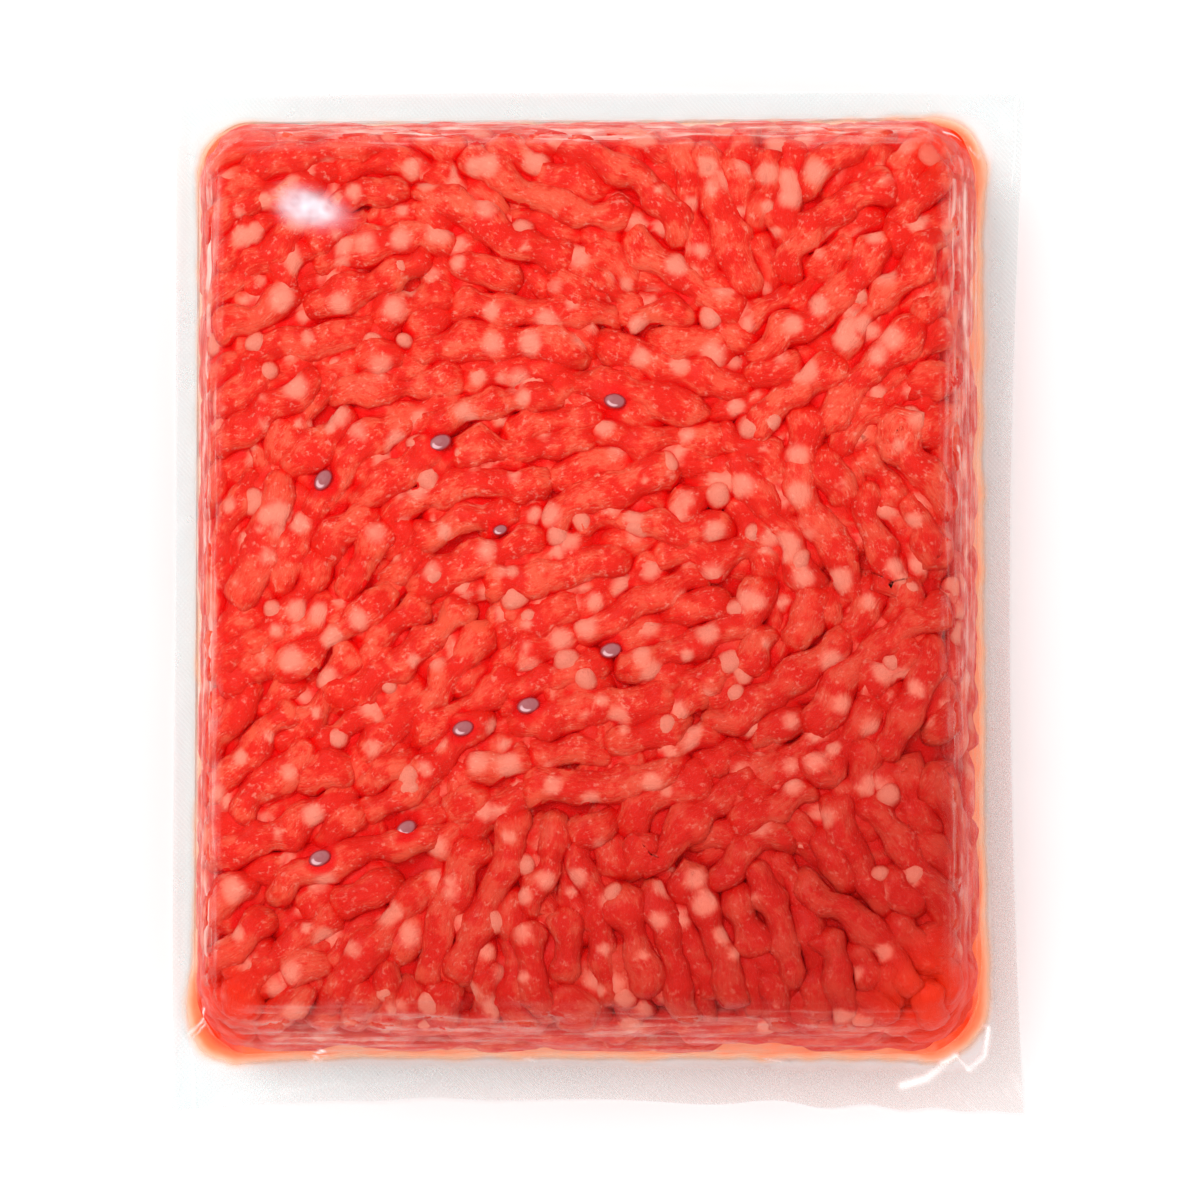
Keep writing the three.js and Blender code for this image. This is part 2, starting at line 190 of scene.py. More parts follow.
# Tints that the materials mix in, besides the colours that can be set
TINTS = SimpleNamespace(
    fat_light=(1.0, 0.3, 0.205),
    # pale flecks of fat, partly painted glints
    fleck_and_glint=(1.0, 0.42, 0.3),
    painted_rim_light=(1.0, 0.2, 0.11),  # painted light on the edge of a strand beside a crease
    # painted shade that the meat is darkened to towards the front right
    shaded=(0.5, 0.006, 0.003),
    # painted glow of the soaked meat
    soak_painted_glow=(1.0, 0.05, 0.01),
    juice_middle=(1.0, 0.18, 0.06),
    # bubble skin, its painted highlight and its painted rim shade
    bubble=(0.4, 0.11, 0.12),
    bubble_shine=(0.8, 0.45, 0.48),
    bubble_rim_shade=(0.4, 0.02, 0.025),
    film_top=(1.0, 0.82, 0.9),
    film_top_light=(1.0, 0.9, 0.97),
    film_streak=(1.0, 0.66, 0.57),
    # painted light on the hazy walls
    wall_painted_light=(0.25, 0.1, 0.08),
    # whitened film creases and their painted glint
    crease=(1.0, 0.98, 0.97),
    crease_painted_glint=(1.0, 0.96, 0.95),
    # painted bounce light and painted light of the margin
    margin_rosy=(0.85, 0.66, 0.62),
    margin_painted_light=(0.0, 0.3, 0.32),
    margin_bounce_painted_light=(0.0, 0.14, 0.14),
    lower_film=(0.9, 0.86, 0.85),
    black=(0.0, 0.0, 0.0),
    white=(1.0, 1.0, 1.0),
)


class MinceSizes(bpy.types.PropertyGroup):
    """Relief of the meat, beyond what the solids fix"""

    granule_rise: bpy.props.FloatProperty(
        name="Granule Rise",
        description="How far a granule stands out of its strand",
        default=0.5 * MM,
        unit="LENGTH",
    )
    granule_step: bpy.props.FloatProperty(
        name="Granule Step",
        description="Distance between granules along a strand",
        default=1.7 * MM,
        unit="LENGTH",
    )
    fat_share: bpy.props.FloatProperty(
        name="Fat Share",
        description="Share of the granules that are fat",
        default=0.2,
        subtype="FACTOR",
    )
    mesh_step: bpy.props.FloatProperty(
        name="Mesh Step",
        description="Distance between the rings of a strand's mesh",
        default=0.9 * MM,
        unit="LENGTH",
    )


class FilmSizes(bpy.types.PropertyGroup):
    """Fit and wrinkles of the clear films"""

    clearance: bpy.props.FloatProperty(
        name="Clearance",
        description="Distance from the meat to the film over it",
        default=0.12 * MM,
        unit="LENGTH",
    )
    bridge: bpy.props.FloatProperty(
        name="Bridge",
        description="Half width of the creases that the film spans without sinking in",
        default=1.6 * MM,
        unit="LENGTH",
    )
    wrinkle_height: bpy.props.FloatProperty(
        name="Wrinkle Height",
        description="Height of the wrinkles that run along the walls",
        default=0.22 * MM,
        unit="LENGTH",
    )
    knurl_pitch: bpy.props.FloatProperty(
        name="Knurl Pitch",
        description="Distance between the crossing lines of the welded margin",
        default=0.58 * MM,
        unit="LENGTH",
    )


class PackColours(bpy.types.PropertyGroup):
    """Colours of the meat, the juice and the film"""

    lean: bpy.props.FloatVectorProperty(
        name="Lean", description="Lean meat", subtype="COLOR", size=3, default=(0.94, 0.036, 0.014)
    )
    lean_clear: bpy.props.FloatVectorProperty(
        name="Clear Lean", description="Lean meat without any fat", subtype="COLOR", size=3,
        default=(0.86, 0.012, 0.004),
    )
    # Painted shade: the colour that creases and deeply sunk meat are darkened to
    lean_crease_shade: bpy.props.FloatVectorProperty(
        name="Dark Lean", description="Lean meat deep in a crease", subtype="COLOR", size=3,
        default=(0.95, 0.0015, 0.0007),
    )
    lean_pale: bpy.props.FloatVectorProperty(
        name="Pale Lean", description="Lean meat smeared with fat", subtype="COLOR", size=3,
        default=(0.98, 0.1, 0.045),
    )
    fat: bpy.props.FloatVectorProperty(
        name="Fat", description="Granules of fat", subtype="COLOR", size=3, default=(1.0, 0.25, 0.165)
    )
    juice: bpy.props.FloatVectorProperty(
        name="Juice", description="Juice where it is deep", subtype="COLOR", size=3,
        default=(0.97, 0.03, 0.004),
    )
    juice_thin: bpy.props.FloatVectorProperty(
        name="Thin Juice", description="Juice where it runs out under the film", subtype="COLOR",
        size=3, default=(1.0, 0.5, 0.27),
    )
    film: bpy.props.FloatVectorProperty(
        name="Shrunk Film", description="Haze of the film on the meat", subtype="COLOR", size=3,
        default=(1.0, 0.5, 0.42),
    )
    margin: bpy.props.FloatVectorProperty(
        name="Margin", description="Haze of the two films in the margin", subtype="COLOR", size=3,
        default=(0.74, 0.88, 0.88),
    )


class StageSettings(bpy.types.PropertyGroup):
    """Camera, lights and floor"""

    camera_distance: bpy.props.FloatProperty(
        name="Camera Distance",
        description="From the camera to the middle of the pack",
        default=0.9,
        unit="LENGTH",
    )
    view_width: bpy.props.FloatProperty(
        name="View Width",
        description="What the picture spans at the level of the table",
        default=0.2,
        unit="LENGTH",
    )
    lean_to_front: bpy.props.FloatProperty(
        name="Lean to the Front",
        description="How far off the vertical the camera stands, towards the front",
        default=math.radians(3.6),
        subtype="ANGLE",
    )
    lean_to_right: bpy.props.FloatProperty(
        name="Lean to the Right",
        description="How far off the vertical the camera stands, towards the right",
        default=math.radians(2.0),
        subtype="ANGLE",
    )
    key_energy: bpy.props.FloatProperty(
        name="Key Light", description="Power of the soft light at the back left", default=4.9,
        unit="POWER",
    )
    fill_energy: bpy.props.FloatProperty(
        name="Fill Light", description="Power of the wide light overhead", default=3.0, unit="POWER"
    )
    sky: bpy.props.FloatProperty(
        name="Room Light", description="Strength of the even light all round", default=0.78
    )


def clamped(value, low=0.0, high=1.0):
    return np.minimum(np.maximum(value, low), high)


def smoothstep(value, low, high):
    share = clamped((value - low) / (high - low))
    return share * share * (3 - 2 * share)


def random_from(seed):
    """Seeded draws from 0 to 1, the same as those that laid the solids' strands"""
    state = seed

    def product(first, second):
        return (first * second) & 0xFFFFFFFF

    def draw():
        nonlocal state
        state = (state + 0x6D2B79F5) & 0xFFFFFFFF
        mixed = product(state ^ (state >> 15), 1 | state)
        mixed = ((mixed + product(mixed ^ (mixed >> 7), 61 | mixed)) & 0xFFFFFFFF) ^ mixed
        return (mixed ^ (mixed >> 14)) / 4294967296

    return draw


def slope_share(x, y):
    """How far a place is down the pocket's shoulder: 0 on the flat top, 1 at the foot"""
    sideways = np.maximum(
        0, np.maximum(1 - (x - POCKET.left) / WALL_RUN.left, 1 - (POCKET.right - x) / WALL_RUN.right)
    )
    lengthways = np.maximum(
        0, np.maximum(1 - (y - POCKET.front) / WALL_RUN.front, 1 - (POCKET.back - y) / WALL_RUN.back)
    )
    return np.hypot(sideways, lengthways)


def height_at(share):
    """Height of the film over a slope share"""
    return POCKET.height * (1 - np.minimum(1, share) ** WALL_ROUNDNESS) ** (1 / WALL_ROUNDNESS)


def surface_height(x, y):
    return height_at(slope_share(x, y))


def film_normals(points):
    """Unit normals of the pocket's smooth form at rows of x, y, z"""
    step = 0.5
    x, y = points[:, 0], points[:, 1]
    normals = np.stack([
        surface_height(x - step, y) - surface_height(x + step, y),
        surface_height(x, y - step) - surface_height(x, y + step),
        np.full(len(points), 2 * step),
    ], axis=1)
    return normals / np.linalg.norm(normals, axis=1, keepdims=True)


def corner_point(corner, degrees, share):
    """A point of the ring where it turns round a corner of the pocket"""
    side, end = CORNERS[corner % 4]
    run_x, run_y = getattr(WALL_RUN, side), getattr(WALL_RUN, end)
    inner_x = POCKET.right - run_x if side == "right" else POCKET.left + run_x
    inner_y = POCKET.back - run_y if end == "back" else POCKET.front + run_y
    angle = math.radians(degrees)
    x = inner_x + share * run_x * math.cos(angle)
    return np.array([x, inner_y + share * run_y * math.sin(angle)])


def ring_point(place, share):
    """A point of the ring round the pocket. A place is counted in corners, each with the side
    that follows it, from 0 to 4."""
    whole = place % 4
    corner = int(whole)
    along = whole - corner
    if along <= CORNER_PART:
        return corner_point(corner, 90 * corner + 90 * along / CORNER_PART, share)
    start = corner_point(corner, 90 * corner + 90, share)
    end = corner_point(corner + 1, 90 * (corner + 1), share)
    return start + (end - start) * (along - CORNER_PART) / (1 - CORNER_PART)


def near_corner(places):
    """1 at the middle of each corner of the pocket, falling to 0 along its sides"""
    away = np.abs((places - CORNER_PART / 2 + 0.5) % 1 - 0.5)
    return np.exp(-((away / POOL_SPREAD) ** 2))


def juice_reach(places):
    """How far the juice stands out of the foot, and how high it stands on the wall"""
    corner = near_corner(places)
    index = np.floor(places - CORNER_PART / 2 + 0.5).astype(int) % 4
    across = np.array([pool.across for pool in POOLS])[index]
    up = np.array([pool.up for pool in POOLS])[index]
    round_once = places * math.pi / 2
    ripple = 0.1 * np.sin(24 * round_once) + 0.08 * np.sin(60 * round_once + 1)
    to_front = 0.5 + 0.5 * np.cos(round_once - math.radians(285))
    return (
        JUICE_LINE.across * (0.5 + 0.6 * to_front) * (1 + ripple) + across * corner,
        JUICE_LINE.up * (1 + ripple) + up * corner,
    )


def soaked(x, y):
    """How much juice the meat holds: most beside the pools in the pocket's corners"""
    soak = np.zeros(np.shape(x))
    for corner, pool in enumerate(POOLS):
        at_x, at_y = ring_point(corner + CORNER_PART / 2, 1.0)
        soak = np.maximum(soak, np.exp(-((np.hypot(x - at_x, y - at_y) / pool.soak) ** 3)))
    return soak


def flow_at(x, y):
    """Direction of the strands at a place of the top face, in radians from +X"""
    weight = ((x - FLOW[:, 0]) ** 2 + (y - FLOW[:, 1]) ** 2 + FLOW_BLUR**2) ** -2
    doubled = np.radians(2 * FLOW[:, 2])
    return math.atan2((weight * np.sin(doubled)).sum(), (weight * np.cos(doubled)).sum()) / 2


def top_line(x, y, length, turn, bend):
    """Centre line on the top face: it follows the flow both ways from its middle"""
    points = [(x, y)]
    half = max(1, math.ceil(length / LONGEST_STEP))
    stride = length / 2 / half
    for way in (-1, 1):
        at_x, at_y = x, y
        for step in range(half):
            angle = flow_at(at_x, at_y) + turn + way * (step + 0.5) * stride * bend
            at_x += math.cos(angle) * way * stride
            at_y += math.sin(angle) * way * stride
            if way < 0:
                points.insert(0, (at_x, at_y))
            else:
                points.append((at_x, at_y))
    return np.array(points)


def lay_top_strands(draw, kind, laid=()):
    """Strands of one kind, laid at random places of the top face where they clear those already
    laid"""

    def between(low, high):
        return low + (high - low) * draw()

    laid = np.vstack([np.zeros((0, 2)), *(strand.line[:, :2] for strand in laid)])
    strands = []
    for attempt in range(kind.tries):
        late = attempt / kind.tries
        x = between(POCKET.left, POCKET.right)
        y = between(POCKET.front, POCKET.back)
        length = (STRAND.longest + (STRAND.shortest - STRAND.longest) * late) * between(0.6, 1)
        turn = between(-STRAY.sway, STRAY.sway)
        bend = between(-STRAY.bend, STRAY.bend)
        if slope_share(x, y) > TOP_REACH:
            continue
        line = top_line(x, y, length, turn, bend)
        if (slope_share(line[:, 0], line[:, 1]) >= TOP_REACH).any():
            continue
        spacing = kind.first + (kind.last - kind.first) * late
        gaps = np.linalg.norm(laid[:, None] - line[None], axis=2)
        if gaps.size and gaps.min() <= spacing:
            continue
        laid = np.vstack([laid, line])
        sunk = STRAND.depth + kind.sink + between(0, 0.7)
        height = surface_height(line[:, 0], line[:, 1]) - sunk
        radius = STRAND.radius * kind.slim * between(0.9, 1.05)
        strands.append(SimpleNamespace(line=np.column_stack([line, height]), radius=radius))
    return strands


def lay_wall_strands(draw):
    """Strands smeared along the walls, in rows from foot to shoulder"""

    def between(low, high):
        return low + (high - low) * draw()

    strands = []
    sunk = STRAND.depth + 0.2
    for row, share in enumerate(WALL_ROWS):
        for index in range(WALL_STRANDS):
            middle = 4 * (index + 0.5 * (row % 2) + between(-0.15, 0.15)) / WALL_STRANDS
            reach = between(0.045, 0.085)
            tilt = between(-0.03, 0.03)
            flat = np.array([
                ring_point(middle + step * reach, min(0.99, share + step * tilt))
                for step in (-1, -0.5, 0, 0.5, 1)
            ])
            line = np.column_stack([flat, surface_height(flat[:, 0], flat[:, 1])])
            line -= sunk * film_normals(line)
            if line[:, 2].min() < FOOT + STRAND.radius:
                continue
            strands.append(SimpleNamespace(line=line, radius=STRAND.radius))
    return strands


def lay_fat(draw):
    """Loose pieces of fat pressed between the strands of the top face"""

    def between(low, high):
        return low + (high - low) * draw()

    pieces = []
    while len(pieces) < FAT.count:
        x = between(POCKET.left, POCKET.right)
        y = between(POCKET.front, POCKET.back)
        radius = between(FAT.smallest, FAT.largest)
        if slope_share(x, y) > TOP_REACH:
            continue
        stretch = (between(0.8, 1.1), between(0.8, 1.1))
        turn = between(0, math.pi)
        z = float(surface_height(x, y)) - radius * (1 - FAT.show) - 0.6
        at = np.array([x, y, z])
        pieces.append(SimpleNamespace(at=at, radius=radius, stretch=stretch, turn=turn))
    return pieces


@functools.cache
def layout():
    """Every strand and loose piece of fat. The draws come in the order of the solids' draws."""
    draw = random_from(SEED)
    top = lay_top_strands(draw, TOP_KIND)
    walls = lay_wall_strands(draw)
    fat = lay_fat(draw)
    finer = []
    for kind in FINER_KINDS:
        finer += lay_top_strands(random_from(kind.seed), kind, top + finer)
    lowest = lay_top_strands(random_from(LOWEST_KIND.seed), LOWEST_KIND)
    return SimpleNamespace(top=top, walls=walls, fat=fat, finer=finer, lowest=lowest)


def smooth_line(points, step):
    """A curve through the points, cut at even steps: places and forward directions"""
    before = 2 * points[:1] - points[1:2]
    after = 2 * points[-1:] - points[-2:-1]
    knots = np.vstack([before, points, after])
    share = np.linspace(0, 1, 12, endpoint=False)[:, None]
    fine = []
    for index in range(1, len(knots) - 2):
        p0, p1, p2, p3 = knots[index - 1:index + 3]
        fine.append(0.5 * (
            2 * p1 + (p2 - p0) * share + (2 * p0 - 5 * p1 + 4 * p2 - p3) * share**2
            + (3 * p1 - p0 - 3 * p2 + p3) * share**3
        ))
    fine = np.vstack([*fine, points[-1:]])
    lengths = np.concatenate([[0], np.cumsum(np.linalg.norm(np.diff(fine, axis=0), axis=1))])
    count = max(3, int(round(lengths[-1] / step)) + 1)
    places = np.linspace(0, lengths[-1], count)
    line = np.column_stack([np.interp(places, lengths, fine[:, axis]) for axis in range(3)])
    forward = np.gradient(line, axis=0)
    forward /= np.linalg.norm(forward, axis=1, keepdims=True)
    return line, forward, places


class Waves:
    """Smooth random relief: the sum of sines in seeded directions"""

    def __init__(self, seed, count=14):
        random = np.random.default_rng(seed)
        directions = random.normal(size=(count, 3))
        self.directions = directions / np.linalg.norm(directions, axis=1, keepdims=True)
        self.paces = random.uniform(0.7, 1.4, count)
        self.phases = random.uniform(0, 2 * math.pi, count)

    def at(self, points, wavelength):
        angles = points @ self.directions.T * (2 * math.pi / wavelength) * self.paces + self.phases
        return np.sin(angles).sum(axis=1) / math.sqrt(len(self.paces) / 2)


def tip_to_tip(strand, step):
    """A strand's rings: their centres and forward directions, where each is along the strand, and
    how far it is into a rounded end, from 0 to 1"""
    line, forward, places = smooth_line(strand.line, step)
    tip = strand.radius * TIP_LENGTH
    beyond = tip * TIP_RINGS
    line = np.vstack([
        line[:1] - forward[:1] * beyond[:, None],
        line,
        line[-1:] + forward[-1:] * beyond[::-1, None],
    ])
    forward = np.vstack([
        np.repeat(forward[:1], len(beyond), axis=0),
        forward,
        np.repeat(forward[-1:], len(beyond), axis=0),
    ])
    along = np.concatenate([-beyond, places, places[-1] + beyond[::-1]])
    over = np.concatenate([beyond, np.zeros(len(places)), beyond[::-1]]) / tip
    return line, forward, along, over


def squared_off(values, power):
    """Sines or cosines of a ring's angles, pushed out towards the corners of a square"""
    return np.sign(values) * abs(values) ** power


def strand_shell(strand, random, waves, sizes, around):
    """One strand as rings of points from tip to tip, with the granules that make it up.
    It narrows at its ends and dips under its neighbours there."""
    line, forward, along, over = tip_to_tip(strand, sizes.mesh_step / MM)
    swell = np.sqrt(np.maximum(0, 1 - over**2.5)) * (1 + SWELL.share * waves.at(line, SWELL.wave))
    up = film_normals(line)
    line = line - up * (TIP_DIP * over**2)[:, None]
    aside = np.cross(forward, up)
    aside /= np.linalg.norm(aside, axis=1, keepdims=True)
    above = np.cross(aside, forward)
    line = line + aside * (SWAY.reach * waves.at(line, SWAY.wave))[:, None]
    angles = np.linspace(0, 2 * math.pi, around, endpoint=False)
    across = squared_off(np.cos(angles), SQUARENESS.across) * strand.radius * STRAND_WIDTH
    rise = squared_off(np.sin(angles), SQUARENESS.up) * STRAND.depth
    offsets = (
        aside[:, None] * across[None, :, None] + above[:, None] * rise[None, :, None]
    ) * swell[:, None, None]
    points = (line[:, None] + offsets).reshape(-1, 3)
    outward = offsets.reshape(-1, 3)
    outward /= np.maximum(1e-6, np.linalg.norm(outward, axis=1, keepdims=True))

    tips = len(TIP_RINGS)
    between_tips = len(line) - 2 * tips
    count = max(3, int(between_tips * sizes.mesh_step / sizes.granule_step) + 2)
    rings = random.integers(tips - 1, len(line) - tips + 1, count)
    turns = random.normal(math.pi / 2, GRANULE.scatter, count)
    centres = (
        line[rings]
        + aside[rings] * (np.cos(turns) * strand.radius * GRANULE.out)[:, None]
        + above[rings] * (np.sin(turns) * STRAND.depth * GRANULE.out)[:, None]
    )
    widths = random.uniform(GRANULE.smallest, GRANULE.largest, count)
    # Fewer fat granules towards the front right, to deepen the painted shade there
    fatty = sizes.fat_share * (1.2 - 0.6 * shadiness(line[:, 0], line[:, 1]).mean())
    is_fat = random.uniform(size=count) < fatty
    away = np.linalg.norm(points[:, None] - centres[None], axis=2) / widths
    granules = np.exp(-GRANULE.crispness * away**2).max(axis=1)
    fat = np.where(is_fat[None], clamped(GRANULE.fat - away, 0, 2), 0).max(axis=1)
    relief = sizes.granule_rise / MM * (granules - 0.5)
    for height, wave in FINE_RELIEF:
        relief += height * waves.at(points, wave)
    points = points + outward * (relief * np.repeat(clamped(swell), around))[:, None]
    turned = (angles + math.pi / 2) % (2 * math.pi) * strand.radius
    grain = np.stack(np.broadcast_arrays(
        GRAIN_STRETCH * along[:, None], turned[None], random.uniform(0, 100)
    ), axis=-1).reshape(-1, 3)
    return flattened(points), fat, grain, len(line)


def flattened(points):
    """Points of the meat, pressed flat where they stand up to the film"""
    share = slope_share(points[:, 0], points[:, 1])
    over = np.maximum(0, points[:, 2] - height_at(share) + PRESS_GAP)
    pressed = PRESS_TOP * over * (1 - smoothstep(share, 0.4, 0.7))
    points = points - [0, 0, 1] * pressed[:, None]
    inner = np.column_stack([
        clamped(points[:, 0], POCKET.left + WALL_RUN.left, POCKET.right - WALL_RUN.right),
        clamped(points[:, 1], POCKET.front + WALL_RUN.front, POCKET.back - WALL_RUN.back),
    ])
    level = clamped(points[:, 2] / POCKET.height)
    reach = (1 - level**WALL_ROUNDNESS) ** (1 / WALL_ROUNDNESS) - 0.01
    outside = np.maximum(0, share - reach) * smoothstep(share, 0.5, 0.8)
    kept = 1 - PRESS_WALL * outside / np.maximum(share, 0.5)
    points[:, :2] = inner + (points[:, :2] - inner) * kept[:, None]
    return points


def shadiness(x, y):
    """Painted shade of the light falling off across the pack: 0 at the back left, 1 at the front
    right
    """
    return smoothstep(0.8 * x - 1.2 * y, -30, 120)


def joined_strands(strands, seed, sizes, around):
    """All strands of one kind as one list of points, faces and values at the points"""
    random = np.random.default_rng(seed)
    waves = Waves(seed)
    points, faces = [], []
    values = {"fat": [], "tint": [], "grain": []}
    start = 0
    for strand in strands:
        shell, fat, grain, rings = strand_shell(strand, random, waves, sizes, around)
        points += [shell, shell[:around].mean(axis=0)[None], shell[-around:].mean(axis=0)[None]]
        index = start + np.arange(rings * around).reshape(rings, around)
        turned = np.roll(index, -1, axis=1)
        quads = np.stack([index[:-1], turned[:-1], turned[1:], index[1:]], axis=-1).reshape(-1, 4)
        faces += quads.tolist()
        tip = start + rings * around
        faces += [(tip, b, a) for a, b in zip(index[0], turned[0])]
        faces += [(tip + 1, a, b) for a, b in zip(index[-1], turned[-1])]
        values["fat"].append(np.concatenate([fat, [fat[0], fat[-1]]]))
        values["grain"].append(np.vstack([grain, grain[:1], grain[-1:]]))
        values["tint"].append(np.full(rings * around + 2, random.uniform()))
        start = tip + 2
    return np.vstack(points), faces, {name: np.concatenate(parts) for name, parts in values.items()}


@functools.cache
def meat_shells():
    """Points, faces and values of each kind of strand, and of the loose pieces of fat"""
    sizes = bpy.context.scene.mince_sizes
    laid = layout()
    shells = {
        name: joined_strands(getattr(laid, kind), seed, sizes, around)
        for name, kind, seed, around in STRAND_PIECES
    }
    return {**shells, "pieces_of_fat": fat_shells(laid.fat)}


def fat_shells(pieces):
    """Lumps of fat, flattened under the film"""
    waves = Waves(51)
    levels, around = 13, 20
    tilt = np.linspace(0, math.pi, levels + 2)[1:-1]
    turn = np.linspace(0, 2 * math.pi, around, endpoint=False)
    ring = np.stack([
        np.outer(np.sin(tilt), np.cos(turn)),
        np.outer(np.sin(tilt), np.sin(turn)),
        np.repeat(np.cos(tilt)[:, None], around, axis=1),
    ], axis=-1).reshape(-1, 3)
    ball = np.vstack([ring, [[0, 0, 1]], [[0, 0, -1]]])
    points, faces = [], []
    for index, piece in enumerate(pieces):
        body = ball * piece.radius * np.array([*piece.stretch, LUMP.height])
        cos, sin = math.cos(piece.turn), math.sin(piece.turn)
        body = body @ np.array([[cos, sin, 0], [-sin, cos, 0], [0, 0, 1]])
        body *= 1 + LUMP.uneven * waves.at(body + piece.at, LUMP.wave)[:, None]
        points.append(flattened(body + piece.at - [0, 0, LUMP.sunk]))
        start = index * len(ball)
        faces += grid_faces(levels, around, start)
        top, bottom = start + len(ring), start + len(ring) + 1
        last = start + (levels - 1) * around
        faces += [(top, start + step, start + (step + 1) % around) for step in range(around)]
        faces += [(bottom, last + (step + 1) % around, last + step) for step in range(around)]
    points = np.vstack(points)
    fat = np.tile(0.1 + 1.15 * clamped(ball[:, 2]) ** 1.6, len(pieces))
    return points, faces, {"fat": fat, "tint": np.full(len(points), 0.5), "grain": points}


def make_piece(name, points, faces, material, replaced, values=None, uvs=None):
    """A smooth mesh from points in millimetres, which rides on the pack and stands for nodes"""
    mesh = bpy.data.meshes.new(name)
    mesh.from_pydata((np.asarray(points) * MM).tolist(), [], faces)
    for value_name, numbers in (values or {}).items():
        numbers = np.asarray(numbers, np.float32)
        kind, key = ("FLOAT", "value") if numbers.ndim == 1 else ("FLOAT_VECTOR", "vector")
        attribute = mesh.attributes.new(value_name, kind, "POINT")
        attribute.data.foreach_set(key, numbers.ravel())
    if uvs is not None:
        corners = np.empty(len(mesh.loops), np.int32)
        mesh.loops.foreach_get("vertex_index", corners)
        layer = mesh.uv_layers.new(name="Film")
        layer.data.foreach_set("uv", np.asarray(uvs, np.float32)[corners].ravel())
    mesh.validate()
    mesh.shade_smooth()
    mesh.materials.append(material)
    piece = bpy.data.objects.new(name, mesh)
    bpy.context.scene.collection.objects.link(piece)
    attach(piece, BODY)
    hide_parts(*replaced)
    return piece


class Link:
    """An output of a shader's node, so that sums on it read as sums"""

    def __init__(self, shader, socket):
        self.shader = shader
        self.socket = socket

    def __add__(self, other):
        return self.shader.maths("ADD", self, other)

    def __sub__(self, other):
        return self.shader.maths("SUBTRACT", self, other)

    def __rsub__(self, other):
        return self.shader.maths("SUBTRACT", other, self)

    def __mul__(self, other):
        return self.shader.maths("MULTIPLY", self, other)

    __radd__ = __add__
    __rmul__ = __mul__


class Shader:
    """The node tree of one material"""

    def __init__(self, name):
        self.material = bpy.data.materials.new(name)
        self.material.use_nodes = True
        self.tree = self.material.node_tree
        self.tree.nodes.clear()

    def node(self, kind, settings=None, sockets=None, output=0):
        """A node: its settings first, then the numbers or links of its sockets"""
        made = self.tree.nodes.new(kind)
        for name, value in (settings or {}).items():
            setattr(made, name, value)
        for name, value in (sockets or {}).items():
            if isinstance(value, Link):
                self.tree.links.new(value.socket, made.inputs[name])
            else:
                made.inputs[name].default_value = value
        return Link(self, made.outputs[output]) if len(made.outputs) else made

    def maths(self, operation, *values):
        return self.node("ShaderNodeMath", {"operation": operation}, dict(enumerate(values)))

    def clamp(self, value):
        return self.node("ShaderNodeClamp", None, {"Value": value})

    def step(self, value, low, high):
        """0 under low, 1 over high, with a smooth rise between"""
        return self.node(
            "ShaderNodeMapRange", {"interpolation_type": "SMOOTHSTEP"},
            {"Value": value, "From Min": low, "From Max": high},
        )

    def mix(self, factor, first, second):
        """A colour between two colours"""
        sockets = {0: factor, 6: padded(first), 7: padded(second)}
        return self.node("ShaderNodeMix", {"data_type": "RGBA"}, sockets, output=2)

    def value(self, name):
        """A number that the mesh holds at each point"""
        return self.node("ShaderNodeAttribute", {"attribute_name": name}, output=2)

    def vector(self, name):
        """Three numbers that the mesh holds at each point"""
        return self.node("ShaderNodeAttribute", {"attribute_name": name}, output=1)

    def place(self):
        """Where a point is in the object, in metres"""
        return self.node("ShaderNodeTexCoord", output=3)

    def film_place(self, *scale):
        """Where a point is on the film: metres along and across, stretched"""
        at = self.node("ShaderNodeUVMap", {"uv_map": "Film"})
        return self.node("ShaderNodeVectorMath", {"operation": "MULTIPLY"}, {0: at, 1: scale})

    def parts(self, vector):
        """The three numbers of a vector, each on its own"""
        split = self.node("ShaderNodeSeparateXYZ", None, {0: vector}).socket.node
        return [Link(self, output) for output in split.outputs]

    def facing(self):
        """How far the surface is turned away: 0 where it is seen straight on, 1 at its rim"""
        return self.node("ShaderNodeLayerWeight", None, {"Blend": 0.5}, output=1)

    def noise(self, where, scale, detail, roughness):
        return self.node(
            "ShaderNodeTexNoise", None,
            {"Vector": where, "Scale": scale, "Detail": detail, "Roughness": roughness},
        )

    def bump(self, height, distance):
        return self.node("ShaderNodeBump", None, {"Height": height, "Distance": distance})

    def solid(self, sockets):
        """The finished material, of something that hides what is behind it"""
        return self.finish(self.node("ShaderNodeBsdfPrincipled", None, sockets))

    def film(self, haze, sockets):
        """The finished material of clear film: mostly nothing, with a share of haze that also
        carries the gloss"""
        gloss = self.node("ShaderNodeBsdfPrincipled", None, sockets)
        clear = self.node("ShaderNodeBsdfTransparent")
        shares = {0: self.clamp(haze), 1: clear, 2: gloss}
        return self.finish(self.node("ShaderNodeMixShader", None, shares))

    def finish(self, surface):
        self.node("ShaderNodeOutputMaterial", None, {"Surface": surface})
        return self.material


def padded(colour):
    """A colour with the fourth number that a colour socket holds"""
    return colour if isinstance(colour, Link) else (*colour, 1.0)


